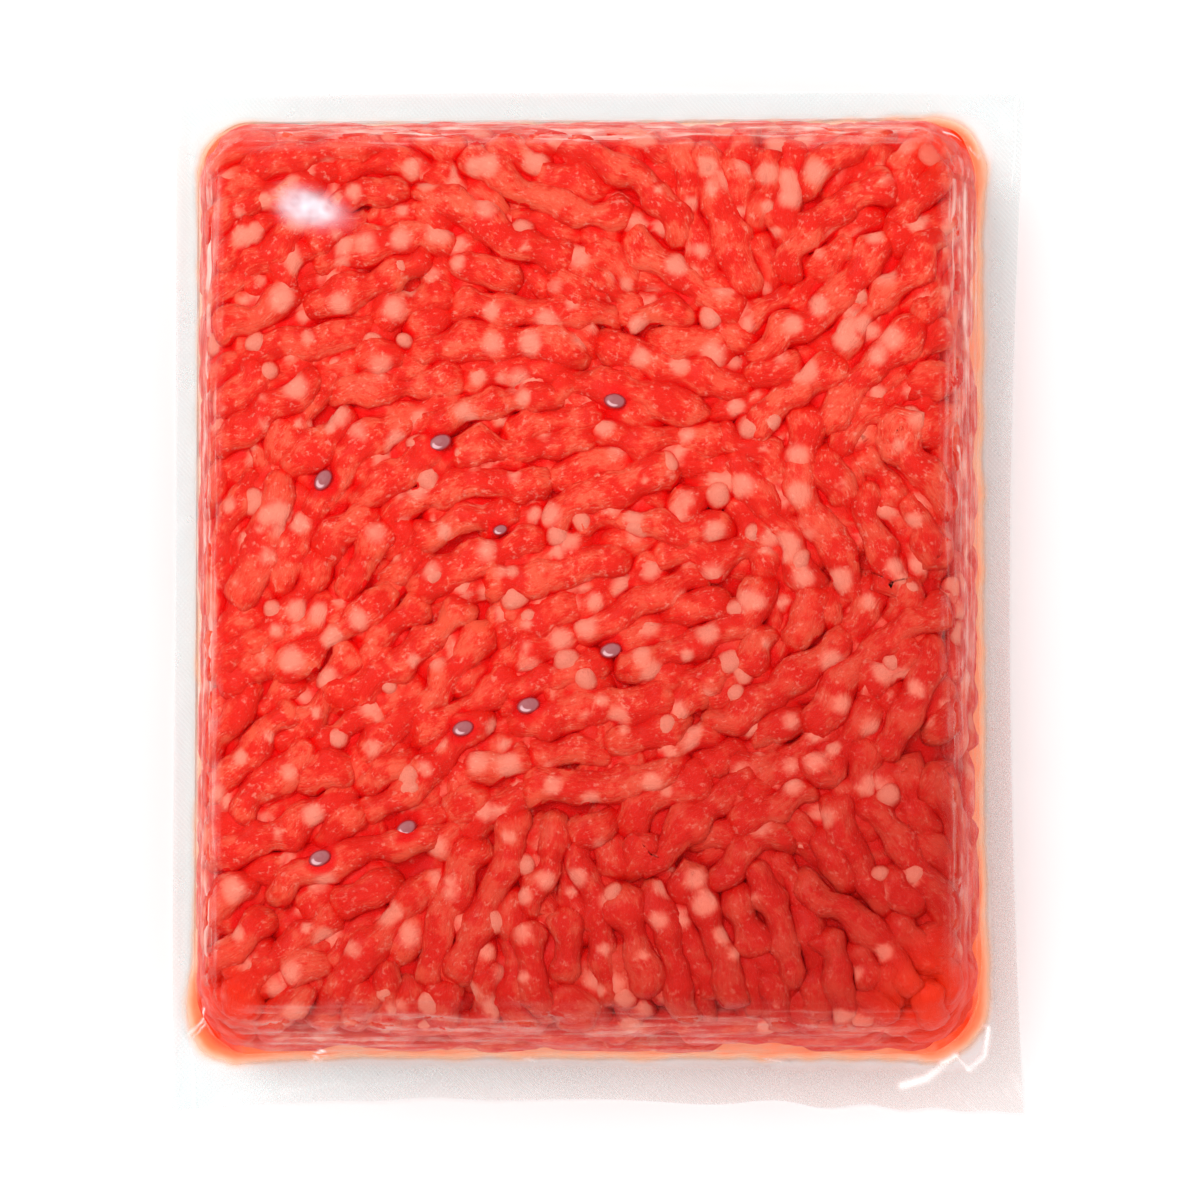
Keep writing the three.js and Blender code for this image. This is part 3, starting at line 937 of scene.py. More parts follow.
@functools.cache
def meat_material():
    """Lean strands with granules of fat: pale on ridges, deep red in creases"""
    colours = bpy.context.scene.pack_colours
    shader = Shader("meat")
    everywhere = shader.place()
    cloudy = shader.noise(everywhere, 230, 2, 0.55)
    grainy = shader.noise(shader.vector("grain"), 2.0, 3, 0.9)
    crease = shader.value("crease")
    shady = shader.value("shady")
    soak = shader.value("soaked")

    # Pale smear of fat by noise, and painted light: paler on ridges and less pale in creases
    smeared = cloudy * 0.8 + shader.value("tint") * 0.2 + grainy * 1.3 - crease * 0.4
    lean = shader.mix(
        shader.step(smeared, 1.05, 1.55), tuple(colours.lean), tuple(colours.lean_pale)
    )
    clear = shader.step(cloudy + grainy * 0.3, 0.74, 0.54) * 0.9
    lean = shader.mix(clear, lean, tuple(colours.lean_clear))

    fat_edge = shader.value("fat") + (grainy - 0.5) * 0.3 + (cloudy - 0.5) * 0.6
    fat_mask = shader.step(fat_edge, 0.25, 0.95)
    fat_middle = shader.step(fat_edge + grainy * 0.3, 0.7, 1.6)
    fat = shader.mix(fat_middle, tuple(colours.fat), TINTS.fat_light)
    flesh = shader.mix(fat_mask * 0.9, lean, fat)

    # Painted light: a lit rim on the ridge side beside each crease
    painted_rim_light = shader.step(crease, -0.3, -0.05) * shader.step(crease, 0.3, 0.0)
    painted_rim_light = painted_rim_light * shader.step(cloudy + (grainy - 0.5) * 0.6, 0.45, 0.62)
    flesh = shader.mix(painted_rim_light * 0.22, flesh, TINTS.painted_rim_light)
    # Painted shade in creases, round the bubbles and where the meat lies deep under the film
    shade = shader.step(crease + (cloudy - 0.5) * 0.2, 0.02, 0.42)
    shade = shader.maths("MAXIMUM", shade, shader.step(shader.value("depth"), 1.6, 3.6))
    colour = shader.mix(shade * 0.95, flesh, tuple(colours.lean_crease_shade))
    # Painted shade: the meat is darkened towards the front right, less on fat
    dim = shady * 0.78 * (1 - fat_mask * 0.55)
    colour = shader.mix(dim, colour, TINTS.shaded)

    # Pale flecks of fat, partly painted glints: more at the back left, where the light falls, fewer
    # in creases
    fine = shader.noise(everywhere, 900, 2, 0.7)
    flecks_and_glints = shader.step(fine + (grainy - 0.5) * 0.5 - shader.clamp(crease) * 0.5, 0.56, 0.75)
    colour = shader.mix(flecks_and_glints * (0.36 - shady * 0.26), colour, TINTS.fleck_and_glint)
    colour = shader.mix(soak * 0.85, colour, tuple(colours.juice))
    return shader.solid({
        "Base Color": colour,
        # Painted glow: the soaked meat glows a little, though it is no lamp
        "Emission Color": shader.mix(soak, TINTS.black, TINTS.soak_painted_glow),
        "Emission Strength": 0.06,
        "Roughness": 0.32 + grainy * 0.25,
        "Normal": shader.bump(grainy, 0.0004),
        "Specular IOR Level": 0.14,
        "Coat Weight": 0.04,
        "Coat Roughness": 0.2,
    })


@functools.cache
def juice_material():
    """Meat juice, red where it is deep and pale orange where it runs out, with a painted glow in its
    own colour
    """
    colours = bpy.context.scene.pack_colours
    shader = Shader("juice")
    cloudy = shader.noise(shader.place(), 300, 2, 0.5)
    thin = shader.value("thin") + (cloudy - 0.5) * 0.3
    colour = shader.mix(shader.step(thin, -0.1, 0.6), tuple(colours.juice), TINTS.juice_middle)
    colour = shader.mix(shader.step(thin, 0.45, 1.0), colour, tuple(colours.juice_thin))
    return shader.solid({
        "Base Color": colour,
        "Roughness": 0.08 + cloudy * 0.08,
        "Alpha": 1 - shader.step(thin, 0.3, 1.5),
        "Normal": shader.bump(cloudy, 0.0004),
        # Painted glow: the juice glows in its own colour, standing in for light through it
        "Emission Color": colour,
        "Emission Strength": 0.32,
        "Specular IOR Level": 0.2,
    })


@functools.cache
def bubble_material():
    """Air caught under the film: a grey-violet skin with a painted highlight as a bright crescent and
    painted shade as a dark red rim
    """
    shader = Shader("air_bubble")
    cloudy = shader.noise(shader.place(), 900, 2, 0.5)
    rim = shader.value("rim") + (cloudy - 0.5) * 0.2
    shine = shader.step(shader.value("shine") + (cloudy - 0.5) * 0.3, 0.3, 0.75)
    colour = shader.mix(shine, TINTS.bubble, TINTS.bubble_shine)
    return shader.solid({
        # Painted shade: a dark red rim where the bubble meets the meat
        "Base Color": shader.mix(shader.step(rim, 0.76, 0.94), colour, TINTS.bubble_rim_shade),
        "Roughness": 0.3 + cloudy * 0.2,
        "Normal": shader.bump(cloudy, 0.0003),
        "Specular IOR Level": 0.25,
    })


@functools.cache
def top_film_material():
    """The film on the top face: all but unseen, with a whitish painted glare where it doesn't cling
    """
    shader = Shader("film_on_top")
    cloudy = shader.noise(shader.place(), 420, 1, 0.5)
    # Painted glare: whitish haze on the lifted patch
    loose = shader.value("glare") * (0.45 + cloudy * 0.8)
    haze = cloudy * 0.002 + loose + shader.step(shader.facing(), 0.35, 1.0) * 0.1
    return shader.film(haze, {
        "Base Color": shader.mix(cloudy, TINTS.film_top, TINTS.film_top_light),
        "Roughness": 0.15 + cloudy * 0.1,
    })


@functools.cache
def wall_film_material():
    """The film on the walls: hazy, with wrinkles that run along them"""
    shader = Shader("film_on_walls")
    wrinkles = shader.noise(shader.film_place(60, 480, 1), 1, 3, 0.6)
    creased = shader.noise(shader.place(), 300, 1, 0.6)
    streak = shader.step(wrinkles + (creased - 0.5) * 0.4, 0.4, 0.75)
    facing = shader.facing()
    aslant = shader.clamp(0.1 + facing * (1.15 - facing) * 2.4)
    white = shader.value("white")
    haze = shader.value("wall") * (0.08 + streak * 0.34) * aslant
    # Whitened creases, partly a painted glint
    haze = haze + white * shader.step(creased, 0.2, 0.55)
    film = tuple(bpy.context.scene.pack_colours.film)
    colour = shader.mix(streak, film, TINTS.film_streak)
    return shader.film(haze, {
        "Base Color": shader.mix(white, colour, TINTS.crease),
        "Roughness": 0.15 + creased * 0.15,
        "Normal": shader.bump(wrinkles, 0.0004),
        "Specular IOR Level": 0.3,
        # Painted light: the hazy walls glow a little, and their creases glow as a painted glint
        "Emission Color": shader.mix(white, TINTS.wall_painted_light, TINTS.crease_painted_glint),
        "Emission Strength": 0.5,
    })


@functools.cache
def margin_film_material():
    """The welded margin: hazy, with the crossing lines that the sealing bars press into it"""
    colours = bpy.context.scene.pack_colours
    shader = Shader("margin_film")
    at = shader.place()
    x, y, _ = shader.parts(at)
    turn = 2 * math.pi / bpy.context.scene.film_sizes.knurl_pitch
    slope = math.radians(48)
    across, along = x * (turn * math.sin(slope)), y * (turn * math.cos(slope))
    patchy = shader.noise(at, 38, 2, 0.5)
    cloudy = shader.noise(at, 120, 3, 0.6)
    crinkle = shader.noise(at, 260, 2, 0.6)
    rising = shader.maths("SINE", across + along)
    falling = shader.maths("SINE", across - along)
    diamonds = shader.clamp(rising + shader.step(patchy, 0.4, 0.6) * falling)
    welded = shader.value("knurl") * shader.step(patchy, 0.2, 0.5)
    knurl = diamonds * (0.1 + welded * 0.8)
    # Painted shade and painted red bounce light: towards the front right the margin is pinker and
    # hazier
    rosy = shader.value("rosy")
    white = shader.value("white")
    haze = shader.value("weld") * (0.27 + rosy * 0.07) * (1 - knurl) + (cloudy - 0.4) * 0.12
    # Whitened creases, partly a painted glint
    haze = haze + white * shader.step(cloudy, 0.2, 0.6) * (0.6 + diamonds * 0.4)
    colour = shader.mix(rosy, tuple(colours.margin), TINTS.margin_rosy)
    # Painted light: the margin glows a little, less where it is pink, and its creases glow white as a
    # painted glint
    painted_glow = shader.mix(rosy, TINTS.margin_painted_light, TINTS.margin_bounce_painted_light)
    return shader.film(haze, {
        "Base Color": shader.mix(white, colour, TINTS.crease),
        "Roughness": 0.12 + cloudy * 0.16,
        "Normal": shader.bump(crinkle, 0.0002),
        "Emission Color": shader.mix(white, painted_glow, TINTS.white),
        "Emission Strength": 0.5,
    })


@functools.cache
def lower_film_material():
    """The flat lower film, clear with a faint haze"""
    colours = bpy.context.scene.pack_colours
    shader = Shader("lower_film")
    at = shader.place()
    cloudy = shader.noise(at, 70, 3, 0.6)
    crinkle = shader.noise(at, 220, 3, 0.6)
    return shader.film(0.02 + cloudy * 0.06, {
        "Base Color": shader.mix(crinkle, tuple(colours.margin), TINTS.lower_film),
        "Roughness": 0.14 + crinkle * 0.14,
        "Normal": shader.bump(crinkle, 0.0003),
    })


@functools.cache
def floor_material():
    """Plain white table"""
    shader = Shader("pale_floor")
    cloudy = shader.noise(shader.place(), 12, 2, 0.5)
    colour = shader.mix(cloudy, (0.96, 0.96, 0.96), (0.98, 0.98, 0.98))
    return shader.solid({"Base Color": colour, "Roughness": 0.85})


def right_edge(y):
    """Where the film ends at the right"""
    down = 0.5 - y / PACK_LENGTH
    return PACK_WIDTH / 2 - RIGHT_END * down - RIGHT_WAIST * math.sin(math.pi * down)


def front_edge(x):
    """Where the film ends at the front: drawn in, and rippled towards the right"""
    along = clamped(x / PACK_WIDTH + 0.5)
    rise = FRONT_RISE * abs(math.sin(math.pi * (1 - (1 - along) ** 1.4))) ** 0.7
    ripple = FRONT_RIPPLE * along * math.sin(math.pi * (x * x - RIPPLE_PACE) / RIPPLE_PACE)
    return -PACK_LENGTH / 2 + rise + ripple * math.sin(math.pi * along)


def edge_beside(place):
    """The point of the film's edge beside a place of the pocket's foot. The film's corners are
    beside the middles of the pocket's corners."""
    half_turn = CORNER_PART / 2
    side = int((place - half_turn) // 1)
    start, end = PACK_CORNERS[side % 4], PACK_CORNERS[(side + 1) % 4]
    along = (end - start) / ((end - start) @ (end - start))
    first, here, last = (
        (ring_point(at, 1.0) - start) @ along
        for at in (side + half_turn, place, side + 1 + half_turn - 1e-9)
    )
    x, y = start + (end - start) * clamped((here - first) / (last - first))
    x = min(x, right_edge(y))
    return np.array([x, max(y, front_edge(x))])


def places_round(count):
    """Even places round the pocket. Where 24 divides the count, one is at each film corner."""
    return np.linspace(0, 4, count, endpoint=False)


def foot_line(places):
    """The pocket's foot at each place, and the directions that lead straight out of it"""
    foot = np.array([ring_point(place, 1.0) for place in places])
    ahead = np.array([ring_point(place + 0.002, 1.0) for place in places])
    behind = np.array([ring_point(place - 0.002, 1.0) for place in places])
    along = (ahead - behind) / np.linalg.norm(ahead - behind, axis=1, keepdims=True)
    return foot, np.column_stack([along[:, 1], -along[:, 0]])


def margin_point(place, out):
    """A point of the welded margin: out is 0 at the pocket's foot and 1 at the film's edge"""
    foot = ring_point(place, 1.0)
    from_corner = place % 1 - CORNER_PART / 2
    flat = foot + (edge_beside(place) - foot) * out
    wave = 0.5 - 0.5 * math.cos(2 * math.pi * MARGIN_WAVES * place / 4 + 1)
    curl = math.exp(-(from_corner**2) / 0.01)
    free = max(0.0, out - FLAT_SHARE) / (1 - FLAT_SHARE)
    lift = free**2 * (MARGIN_LIFT * wave + CORNER_LIFT * curl)
    return np.array([*flat, lift])


def crease_whitening_and_glint(points):
    """How white the creases are that cross the margin near the pocket's corners: the film's whitening
    and a painted glint
    """
    white = np.zeros(len(points))
    for strength, half_width, corners in CREASES:
        path = np.array(corners)
        for start, end in zip(path[:-1], path[1:]):
            along = end - start
            share = clamped(((points[:, :2] - start) @ along) / (along @ along))
            away = np.linalg.norm(points[:, :2] - start - share[:, None] * along, axis=1)
            white = np.maximum(white, strength * clamped(1.3 - away / half_width))
    return white


def knurled(x, y):
    """How clearly the margin's knurl shows: most at the front left, less at the right"""
    strongest = np.exp(-(((x + 52) / 11) ** 2 + ((y + 79) / 8) ** 2))
    return clamped(0.08 + strongest + 0.38 * smoothstep(x - 0.1 * y, 55, 75))


def grid_faces(rings, around, start=0):
    """Quads between closed rings of points, facing up where the rings grow outwards"""
    index = start + np.arange(rings * around).reshape(rings, around)
    turned = np.roll(index, -1, axis=1)
    quads = np.stack([index[:-1], index[1:], turned[1:], turned[:-1]], axis=-1)
    return quads.reshape(-1, 4).tolist()


@functools.cache
def relief_grid():
    """Heights of the meat seen from above, on a square grid: what the film is shrunk on"""
    points, faces, start = [], [], 0
    for shell_points, shell_faces, _ in meat_shells().values():
        points += shell_points.tolist()
        faces += [[corner + start for corner in face] for face in shell_faces]
        start = len(points)
    tree = BVHTree.FromPolygons(points, faces)
    above, down = 60, Vector((0, 0, -1))
    heights = np.zeros((GRID.rows, GRID.columns))
    for row in range(GRID.rows):
        y = GRID.front + row * GRID.pitch
        for column in range(GRID.columns):
            hit, *_ = tree.ray_cast(Vector((GRID.left + column * GRID.pitch, y, above)), down)
            if hit is not None:
                heights[row, column] = hit.z
    return heights


@functools.cache
def crease_grid():
    """How far the relief lies under its surroundings: above 0 in a crease, under 0 on a ridge"""
    columns = GRID.left + GRID.pitch * np.arange(GRID.columns)
    rows = GRID.front + GRID.pitch * np.arange(GRID.rows)
    smooth = surface_height(columns[None], rows[:, None])
    beside_wall, outside = 9, 2.0
    below = np.where(smooth > beside_wall, smooth - relief_grid(), outside)
    return below - blurred(below, 7)


def shifted_extreme(grid, reach, pick):
    """Each cell's extreme over the disc of cells within reach"""
    result = grid.copy()
    for down in range(-reach, reach + 1):
        for right in range(-reach, reach + 1):
            if down * down + right * right <= reach * reach:
                result = pick(result, np.roll(grid, (down, right), axis=(0, 1)))
    return result


def blurred(grid, times):
    """Each cell evened out with its neighbours, several times over"""
    for _ in range(times):
        for axis in (0, 1):
            grid = (np.roll(grid, 1, axis) + 2 * grid + np.roll(grid, -1, axis)) / 4
    return grid


@functools.cache
def film_grid(bridge):
    """Heights of the film: it spans what is narrower than the bridge and sags a little there"""
    heights = relief_grid()
    reach = max(1, int(round(bridge / GRID.pitch)))
    closed = shifted_extreme(shifted_extreme(heights, reach, np.maximum), reach, np.minimum)
    return blurred(np.maximum(heights, closed), 2)


def sampled(grid, x, y):
    """Values of a grid at places between its cells"""
    column = clamped((x - GRID.left) / GRID.pitch, 0, GRID.columns - 2)
    row = clamped((y - GRID.front) / GRID.pitch, 0, GRID.rows - 2)
    at_column, at_row = column.astype(int), row.astype(int)
    right, up = column - at_column, row - at_row
    lower = grid[at_row, at_column] * (1 - right) + grid[at_row, at_column + 1] * right
    upper = grid[at_row + 1, at_column] * (1 - right) + grid[at_row + 1, at_column + 1] * right
    return lower * (1 - up) + upper * up


def with_creases(points, values):
    """Add to the values how deep in a crease each point is and how deep under the film, for painted
    shade there, the painted shade towards the front right, and how soaked the meat is
    """
    x, y = points[:, 0], points[:, 1]
    share = slope_share(x, y)
    on_top = 1 - smoothstep(share, 0.55, 0.85)
    hidden = clamped((sampled(relief_grid(), x, y) - points[:, 2] - 0.5) / 1.5) * on_top
    below = clamped(height_at(share) - points[:, 2], 0, 6) * on_top
    crease = sampled(crease_grid(), x, y) * on_top
    # Painted shade: the crease value rises round each bubble, so the meat there is drawn darker
    for at_x, at_y, half in BUBBLES:
        away = np.hypot(x - at_x, y - at_y) / (half + 0.9)
        crease = crease + 0.6 * np.exp(-(away**4)) * on_top
    # Painted shade towards the front right, fading out down the walls
    shady = shadiness(x, y) * (1 - smoothstep(share, 0.4, 0.9))
    return {
        **values, "crease": crease + hidden, "depth": below, "shady": shady, "soaked": soaked(x, y)
    }


def pocket_rings(around, inner, outer):
    """Rings of the pocket from its middle to its foot: x, y and slope share of each point"""
    places = places_round(around)
    top_ring = np.array([ring_point(place, 0.0) for place in places])
    rings, shares = [], []
    for step in range(1, inner + 1):
        rings.append(POCKET_MIDDLE + (top_ring - POCKET_MIDDLE) * step / inner)
        shares.append(np.zeros(around))
    for step in range(1, outer + 1):
        share = math.sin(math.pi / 2 * step / outer)
        rings.append(np.array([ring_point(place, share) for place in places]))
        shares.append(np.full(around, share))
    return np.array(rings), np.array(shares)


class MINCEPACK_OT_block(bpy.types.Operator):
    """Build the block of meat that the strands lie on"""

    bl_idname = "mincepack.block"
    bl_label = "Meat Block"

    def execute(self, context):
        around = 240
        rings, shares = pocket_rings(around, 24, 28)
        inset = STRAND.depth + 0.9
        shrink = 1 - 0.026 * np.minimum(1, shares * 1.2)
        flat = POCKET_MIDDLE + (rings - POCKET_MIDDLE) * shrink[..., None]
        heights = np.maximum(FOOT, height_at(shares) - inset)
        points = np.concatenate([flat, heights[..., None]], axis=2).reshape(-1, 3)
        relief = 0.35 * Waves(31).at(points, 6.5) + 0.15 * Waves(32).at(points, 2.6)
        points += film_normals(points) * relief[:, None]
        points[:, 2] = np.maximum(points[:, 2], FOOT)
        middle = len(points)
        base = points[:around].mean(axis=0)
        points = np.vstack([points, base, [*POCKET_MIDDLE, FOOT]])
        ring_count = len(rings)
        faces = grid_faces(ring_count, around)
        last = (ring_count - 1) * around
        faces += [(middle, step, (step + 1) % around) for step in range(around)]
        faces += [(middle + 1, last + (step + 1) % around, last + step) for step in range(around)]
        values = {"fat": np.zeros(len(points)), "tint": np.full(len(points), 0.3), "grain": points}
        values = with_creases(points, values)
        make_piece("meat_block", points, faces, meat_material(), ["mince"], values)
        return {"FINISHED"}


class MINCEPACK_OT_strands(bpy.types.Operator):
    """Build the strands of mince and the loose pieces of fat between them"""

    bl_idname = "mincepack.strands"
    bl_label = "Strands and Fat"

    def execute(self, context):
        for name, (points, faces, values) in meat_shells().items():
            values = with_creases(points, values)
            make_piece(name, points, faces, meat_material(), ["mince"], values)
        return {"FINISHED"}


class MINCEPACK_OT_juice(bpy.types.Operator):
    """Build the juice: a fillet round the pocket's foot that swells to a pool in each corner"""

    bl_idname = "mincepack.juice"
    bl_label = "Juice"

    def execute(self, context):
        count, section = 720, 16
        places = places_round(count)
        across, up = juice_reach(places)
        foot, outward = foot_line(places)
        skirt = foot + outward * (across * 1.2 + 0.7)[:, None]
        rows = [np.column_stack([skirt, np.full(count, 0.22)])]
        thin = [np.full(count, 1.5)]
        for step in range(section):
            turn = math.pi / 2 * step / (section - 1)
            spread = across * (1 - math.sin(turn))
            height = JUICE_FLOOR + up * (1 - math.cos(turn))
            rows.append(np.column_stack([foot + outward * spread[:, None], height]))
            thin.append(1.0 - (across - spread) / 3.0)
        rows.append(np.column_stack([foot - outward * 2.5, up]))
        thin.append(thin[-1])
        points = np.array(rows).reshape(-1, 3)
        points += np.array([1.0, 1.0, 0.5]) * 0.12 * Waves(61).at(points, 7.0)[:, None]
        faces = [face[::-1] for face in grid_faces(len(rows), count)]
        make_piece(
            "juice", points, faces, juice_material(), [pool.node for pool in POOLS],
            {"thin": np.array(thin).ravel()},
        )
        return {"FINISHED"}


class MINCEPACK_OT_bubbles(bpy.types.Operator):
    """Build the small air bubbles in the creases under the film"""

    bl_idname = "mincepack.bubbles"
    bl_label = "Air Bubbles"

    def execute(self, context):
        grid = film_grid(context.scene.film_sizes.bridge / MM)
        levels, around = 8, 20
        points, faces, rim, shine = [], [], [], []
        for index, (x, y, half) in enumerate(BUBBLES):
            z = float(sampled(grid, np.array([x]), np.array([y]))[0]) + 0.12 * half
            lean = flow_at(x, y)
            for level in range(levels + 1):
                lift = math.pi / 2 * level / levels
                for step in range(around):
                    turn = 2 * math.pi * step / around
                    along = half * math.cos(lift) * math.cos(turn)
                    across = BUBBLE_WIDTH * half * math.cos(lift) * math.sin(turn)
                    points.append((
                        x + along * math.cos(lean) - across * math.sin(lean),
                        y + along * math.sin(lean) + across * math.cos(lean),
                        z + BUBBLE_HEIGHT * half * math.sin(lift),
                    ))
                    rim.append(math.cos(lift))
                    # Painted highlight: a bright crescent on one side of each bubble
                    crescent = math.exp(-(((math.cos(lift) - 0.6) / 0.2) ** 2))
                    shine.append(crescent * max(0, math.cos(turn + lean + math.radians(125))))
            faces += [
                face[::-1] for face in grid_faces(levels + 1, around, index * (levels + 1) * around)
            ]
        make_piece(
            "air_bubbles", points, faces, bubble_material(), ["mince"],
            {"rim": rim, "shine": shine},
        )
        return {"FINISHED"}


def glare_at(flat):
    """How strong the painted glare is where the film doesn't cling"""
    cos, sin = GLARE.lie
    turned = (flat - GLARE.middle) @ np.array([[cos, sin], [-sin, cos]])
    turned[:, 0] /= np.where(turned[:, 0] > 0, GLARE.right, GLARE.left)
    return np.exp(-((turned / [1.0, GLARE.aside]) ** 2).sum(axis=1) ** 1.6)


def wall_wrinkles(along, down, share):
    """Wrinkles that run along the walls and die out where the walls are steep"""
    spread = np.column_stack([along / 9, down, np.zeros(len(down))])
    wrinkles = Waves(71).at(spread, 2.6) + 0.6 * Waves(72).at(spread * [2.5, 1, 1], 1.5)
    return wrinkles * (1 - 0.95 * smoothstep(share, 0.5, 0.8))


def over_juice(points, places):
    """Points of the film, pushed out over the juice beside the foot. The points are rings with one
    point at each place."""
    rings = len(points) // len(places)
    across, up = (np.tile(reach, rings) for reach in juice_reach(places))
    level = clamped((points[:, 2] - JUICE_FLOOR) / up)
    push = (across + 0.12) * (1 - np.sqrt(level * (2 - level)))
    outward = np.tile(foot_line(places)[1], (rings, 1))
    flat = points[:, :2] + outward * push[:, None]
    height = np.maximum(points[:, 2] + 0.15 * (level < 1), FOOT * 0.5)
    return np.column_stack([flat, height])


class MINCEPACK_OT_pocket_film(bpy.types.Operator):
    """Shrink the clear upper film on the meat"""

    bl_idname = "mincepack.pocket_film"
    bl_label = "Shrunk Film"

    def execute(self, context):
        sizes = context.scene.film_sizes
        clearance = sizes.clearance / MM
        around, inner, outer = POCKET_MESH.around, POCKET_MESH.inner, POCKET_MESH.outer
        rings, shares = pocket_rings(around, inner, outer)
        flat = rings.reshape(-1, 2)
        share = shares.reshape(-1)
        along = np.tile(np.linspace(0, SPREAD.around, around, endpoint=False), inner + outer)
        down = np.repeat(np.concatenate([
            np.linspace(-SPREAD.top, 0, inner), np.linspace(0, SPREAD.wall, outer),
        ]), around)

        base = np.column_stack([flat, height_at(share)])
        relief = sampled(film_grid(sizes.bridge / MM), flat[:, 0], flat[:, 1]) + clearance
        glare = glare_at(flat)
        draped = base.copy()
        draped[:, 2] = np.maximum(relief, base[:, 2] - 3.0) + 0.5 * glare
        wrinkles = wall_wrinkles(along, down, share)
        rise = clearance + 0.1 + sizes.wrinkle_height / MM * wrinkles
        smooth = base + film_normals(base) * rise[:, None]
        wall = smoothstep(share, WALL_FROM, 0.62)
        blend = draped * (1 - wall)[:, None] + smooth * wall[:, None]
        steep = smoothstep(share, 0.6, 0.85)[:, None]
        upper = np.where(blend[:, 2:] > draped[:, 2:], blend, draped)
        points = over_juice(upper * (1 - steep) + blend * steep, places_round(around))

        rings_on_top = inner + int((shares[inner:, 0] < WALL_FROM).sum())
        split = rings_on_top * around
        on_top = np.vstack([points[:split], points[:around].mean(axis=0)])
        faces = grid_faces(rings_on_top, around)
        faces += [(split, step, (step + 1) % around) for step in range(around)]
        make_piece(
            "film_on_top", on_top, faces, top_film_material(), ["mince"],
            {"glare": np.append(glare[:split], 0)},
        )
        split -= around
        wall *= (1 - 0.8 * soaked(flat[:, 0], flat[:, 1])) * (1 - smoothstep(share, 0.96, 1.0))
        # Painted light: more haze on the walls at the back left, where the light falls, and less at
        # the front right
        wall *= 2.3 - 1.5 * shadiness(flat[:, 0], flat[:, 1])
        make_piece(
            "film_on_walls", points[split:], grid_faces(inner + outer - rings_on_top + 1, around),
            wall_film_material(), ["mince"],
            {"wall": wall[split:], "white": crease_whitening_and_glint(points[split:])},
            np.column_stack([along, down])[split:] * MM,
        )
        return {"FINISHED"}


class MINCEPACK_OT_margin(bpy.types.Operator):
    """Lay the lower film and weld the upper film's margin on it"""

    bl_idname = "mincepack.margin"
    bl_label = "Margin and Lower Film"

    def execute(self, context):
        around = MARGIN_MESH.around
        places = places_round(around)
        outs = np.arange(MARGIN_MESH.outwards + 1) / MARGIN_MESH.outwards
        upper = np.array([[margin_point(place, out) for place in places] for out in outs])
        shift = foot_line(places)[1] * (juice_reach(places)[0] - 0.3)[:, None]
        upper[..., :2] += shift[None] * (1 - outs)[:, None, None] ** 1.5
        points = upper.reshape(-1, 3)
        x, y = points[:, 0], points[:, 1]
        white = crease_whitening_and_glint(points)
        points[:, 2] += UPPER_FILM_HEIGHT + 0.05 * Waves(81).at(points, 9.0)
        make_piece(
            "margin_film", points, grid_faces(len(outs), around), margin_film_material(),
            ["film_sheet"], {
                "weld": np.repeat(smoothstep(outs, 0.1, 0.3), around),
                "white": white,
                # Painted shade and red bounce light, growing towards the front right
                "rosy": smoothstep(0.8 * x - 0.6 * y, -20, 80),
                "knurl": knurled(x, y),
            },
        )
        lower = [[margin_point(place, out) for place in places] for out in outs[::6]]
        spokes = [np.column_stack([
            POCKET_MIDDLE + (np.array(lower[0])[:, :2] - POCKET_MIDDLE) * share, np.zeros(around),
        ]) for share in (0.25, 0.5, 0.75)]
        sheet = np.array([*spokes, *lower]).reshape(-1, 3)
        sheet[:, 2] += LOWER_FILM_HEIGHT
        middle = len(sheet)
        sheet = np.vstack([sheet, [*POCKET_MIDDLE, LOWER_FILM_HEIGHT]])
        faces = grid_faces(len(spokes) + len(lower), around)
        faces += [(middle, step, (step + 1) % around) for step in range(around)]
        make_piece("lower_film", sheet, faces, lower_film_material(), ["film_sheet"])
        return {"FINISHED"}


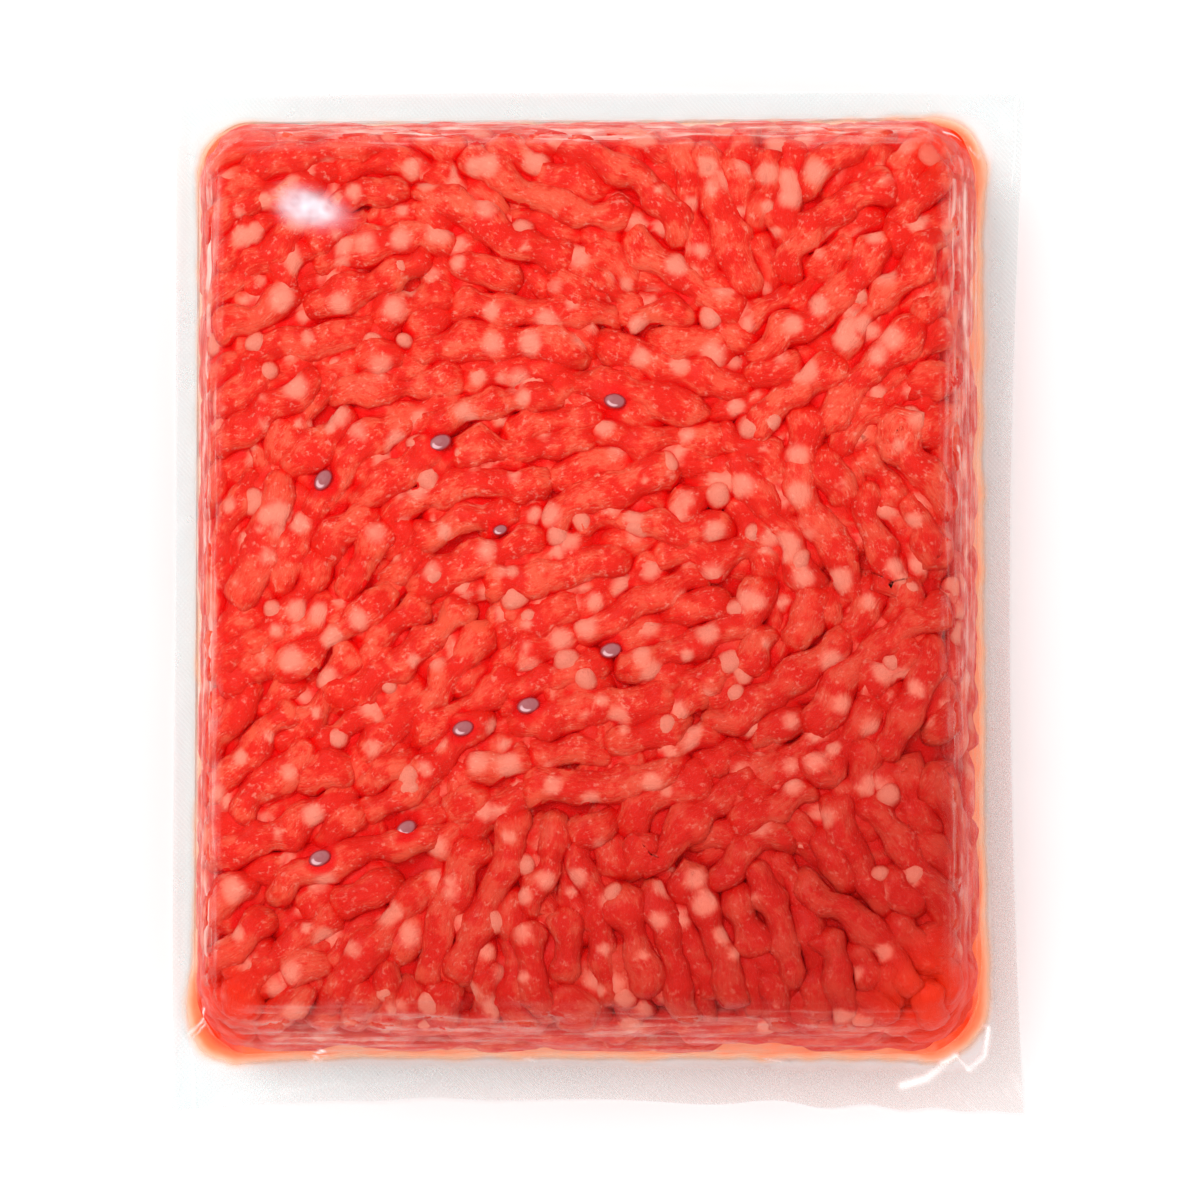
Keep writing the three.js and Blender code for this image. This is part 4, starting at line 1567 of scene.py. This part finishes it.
class MINCEPACK_OT_stage(bpy.types.Operator):
    """Set the camera, the lights and the floor"""

    bl_idname = "mincepack.stage"
    bl_label = "Camera, Lights and Floor"

    def execute(self, context):
        settings = context.scene.stage_settings
        self.add_camera(context, settings)
        self.add_light(context, "key", (-0.42, 0.38, 1.05), 0.5, settings.key_energy)
        fill = self.add_light(context, "fill", (0.15, -0.1, 1.3), 1.2, settings.fill_energy)
        fill.visible_glossy = False
        world = bpy.data.worlds.new("even_room")
        context.scene.world = world
        world.use_nodes = True
        background = world.node_tree.nodes["Background"]
        background.inputs["Color"].default_value = (1.0, 1.0, 1.0, 1.0)
        background.inputs["Strength"].default_value = settings.sky
        world.cycles_visibility.glossy = False
        context.scene.view_settings.view_transform = "Standard"
        self.add_floor(context)
        return {"FINISHED"}

    @staticmethod
    def add_camera(context, settings):
        data = bpy.data.cameras.new("camera")
        data.sensor_width = 36.0
        data.lens = data.sensor_width * settings.camera_distance / settings.view_width
        camera = bpy.data.objects.new("camera", data)
        away = Vector((math.tan(settings.lean_to_right), -math.tan(settings.lean_to_front), 1.0))
        away.normalize()
        right = Vector((0.0, 1.0, 0.0)).cross(away).normalized()
        camera.location = away * settings.camera_distance
        camera.rotation_euler = Matrix((right, away.cross(right), away)).transposed().to_euler()
        context.scene.collection.objects.link(camera)
        context.scene.camera = camera

    @staticmethod
    def add_light(context, name, place, size, energy):
        data = bpy.data.lights.new(name, "AREA")
        data.size = size
        data.energy = energy
        light = bpy.data.objects.new(name, data)
        light.location = place
        light.rotation_euler = Vector(place).to_track_quat("Z", "Y").to_euler()
        context.scene.collection.objects.link(light)
        return light

    @staticmethod
    def add_floor(context):
        reach, rows = 3.0, 13
        steps = np.linspace(-reach, reach, rows)
        points = [(x, y, 0.0) for y in steps for x in steps]
        faces = [
            (row * rows + column, row * rows + column + 1,
             (row + 1) * rows + column + 1, (row + 1) * rows + column)
            for row in range(rows - 1) for column in range(rows - 1)
        ]
        mesh = bpy.data.meshes.new("floor")
        mesh.from_pydata(points, [], faces)
        mesh.materials.append(floor_material())
        floor = bpy.data.objects.new("floor", mesh)
        context.scene.collection.objects.link(floor)


OPERATORS = (
    MINCEPACK_OT_block,
    MINCEPACK_OT_strands,
    MINCEPACK_OT_juice,
    MINCEPACK_OT_bubbles,
    MINCEPACK_OT_pocket_film,
    MINCEPACK_OT_margin,
    MINCEPACK_OT_stage,
)
SETTINGS = (
    ("mince_sizes", MinceSizes),
    ("film_sizes", FilmSizes),
    ("pack_colours", PackColours),
    ("stage_settings", StageSettings),
)


class MINCEPACK_PT_panel(bpy.types.Panel):
    """Sizes, colours and the steps that build the pack"""

    bl_label = "Minced Meat Pack"
    bl_idname = "MINCEPACK_PT_panel"
    bl_space_type = "VIEW_3D"
    bl_region_type = "UI"
    bl_category = "Mince Pack"

    def draw(self, context):
        for name, group in SETTINGS:
            box = self.layout.box()
            box.label(text=group.__doc__)
            for key in group.__annotations__:
                box.prop(getattr(context.scene, name), key)
        for operator in OPERATORS:
            self.layout.operator(operator.bl_idname)


def register():
    for name, group in SETTINGS:
        bpy.utils.register_class(group)
        setattr(bpy.types.Scene, name, bpy.props.PointerProperty(type=group))
    for operator in OPERATORS:
        bpy.utils.register_class(operator)
    bpy.utils.register_class(MINCEPACK_PT_panel)


def unregister():
    bpy.utils.unregister_class(MINCEPACK_PT_panel)
    for operator in reversed(OPERATORS):
        bpy.utils.unregister_class(operator)
    for name, group in reversed(SETTINGS):
        delattr(bpy.types.Scene, name)
        bpy.utils.unregister_class(group)


def main():
    register()
    bpy.ops.mincepack.block()
    bpy.ops.mincepack.strands()
    bpy.ops.mincepack.juice()
    bpy.ops.mincepack.bubbles()
    bpy.ops.mincepack.pocket_film()
    bpy.ops.mincepack.margin()
    bpy.ops.mincepack.stage()


if __name__ == "__main__":
    main()
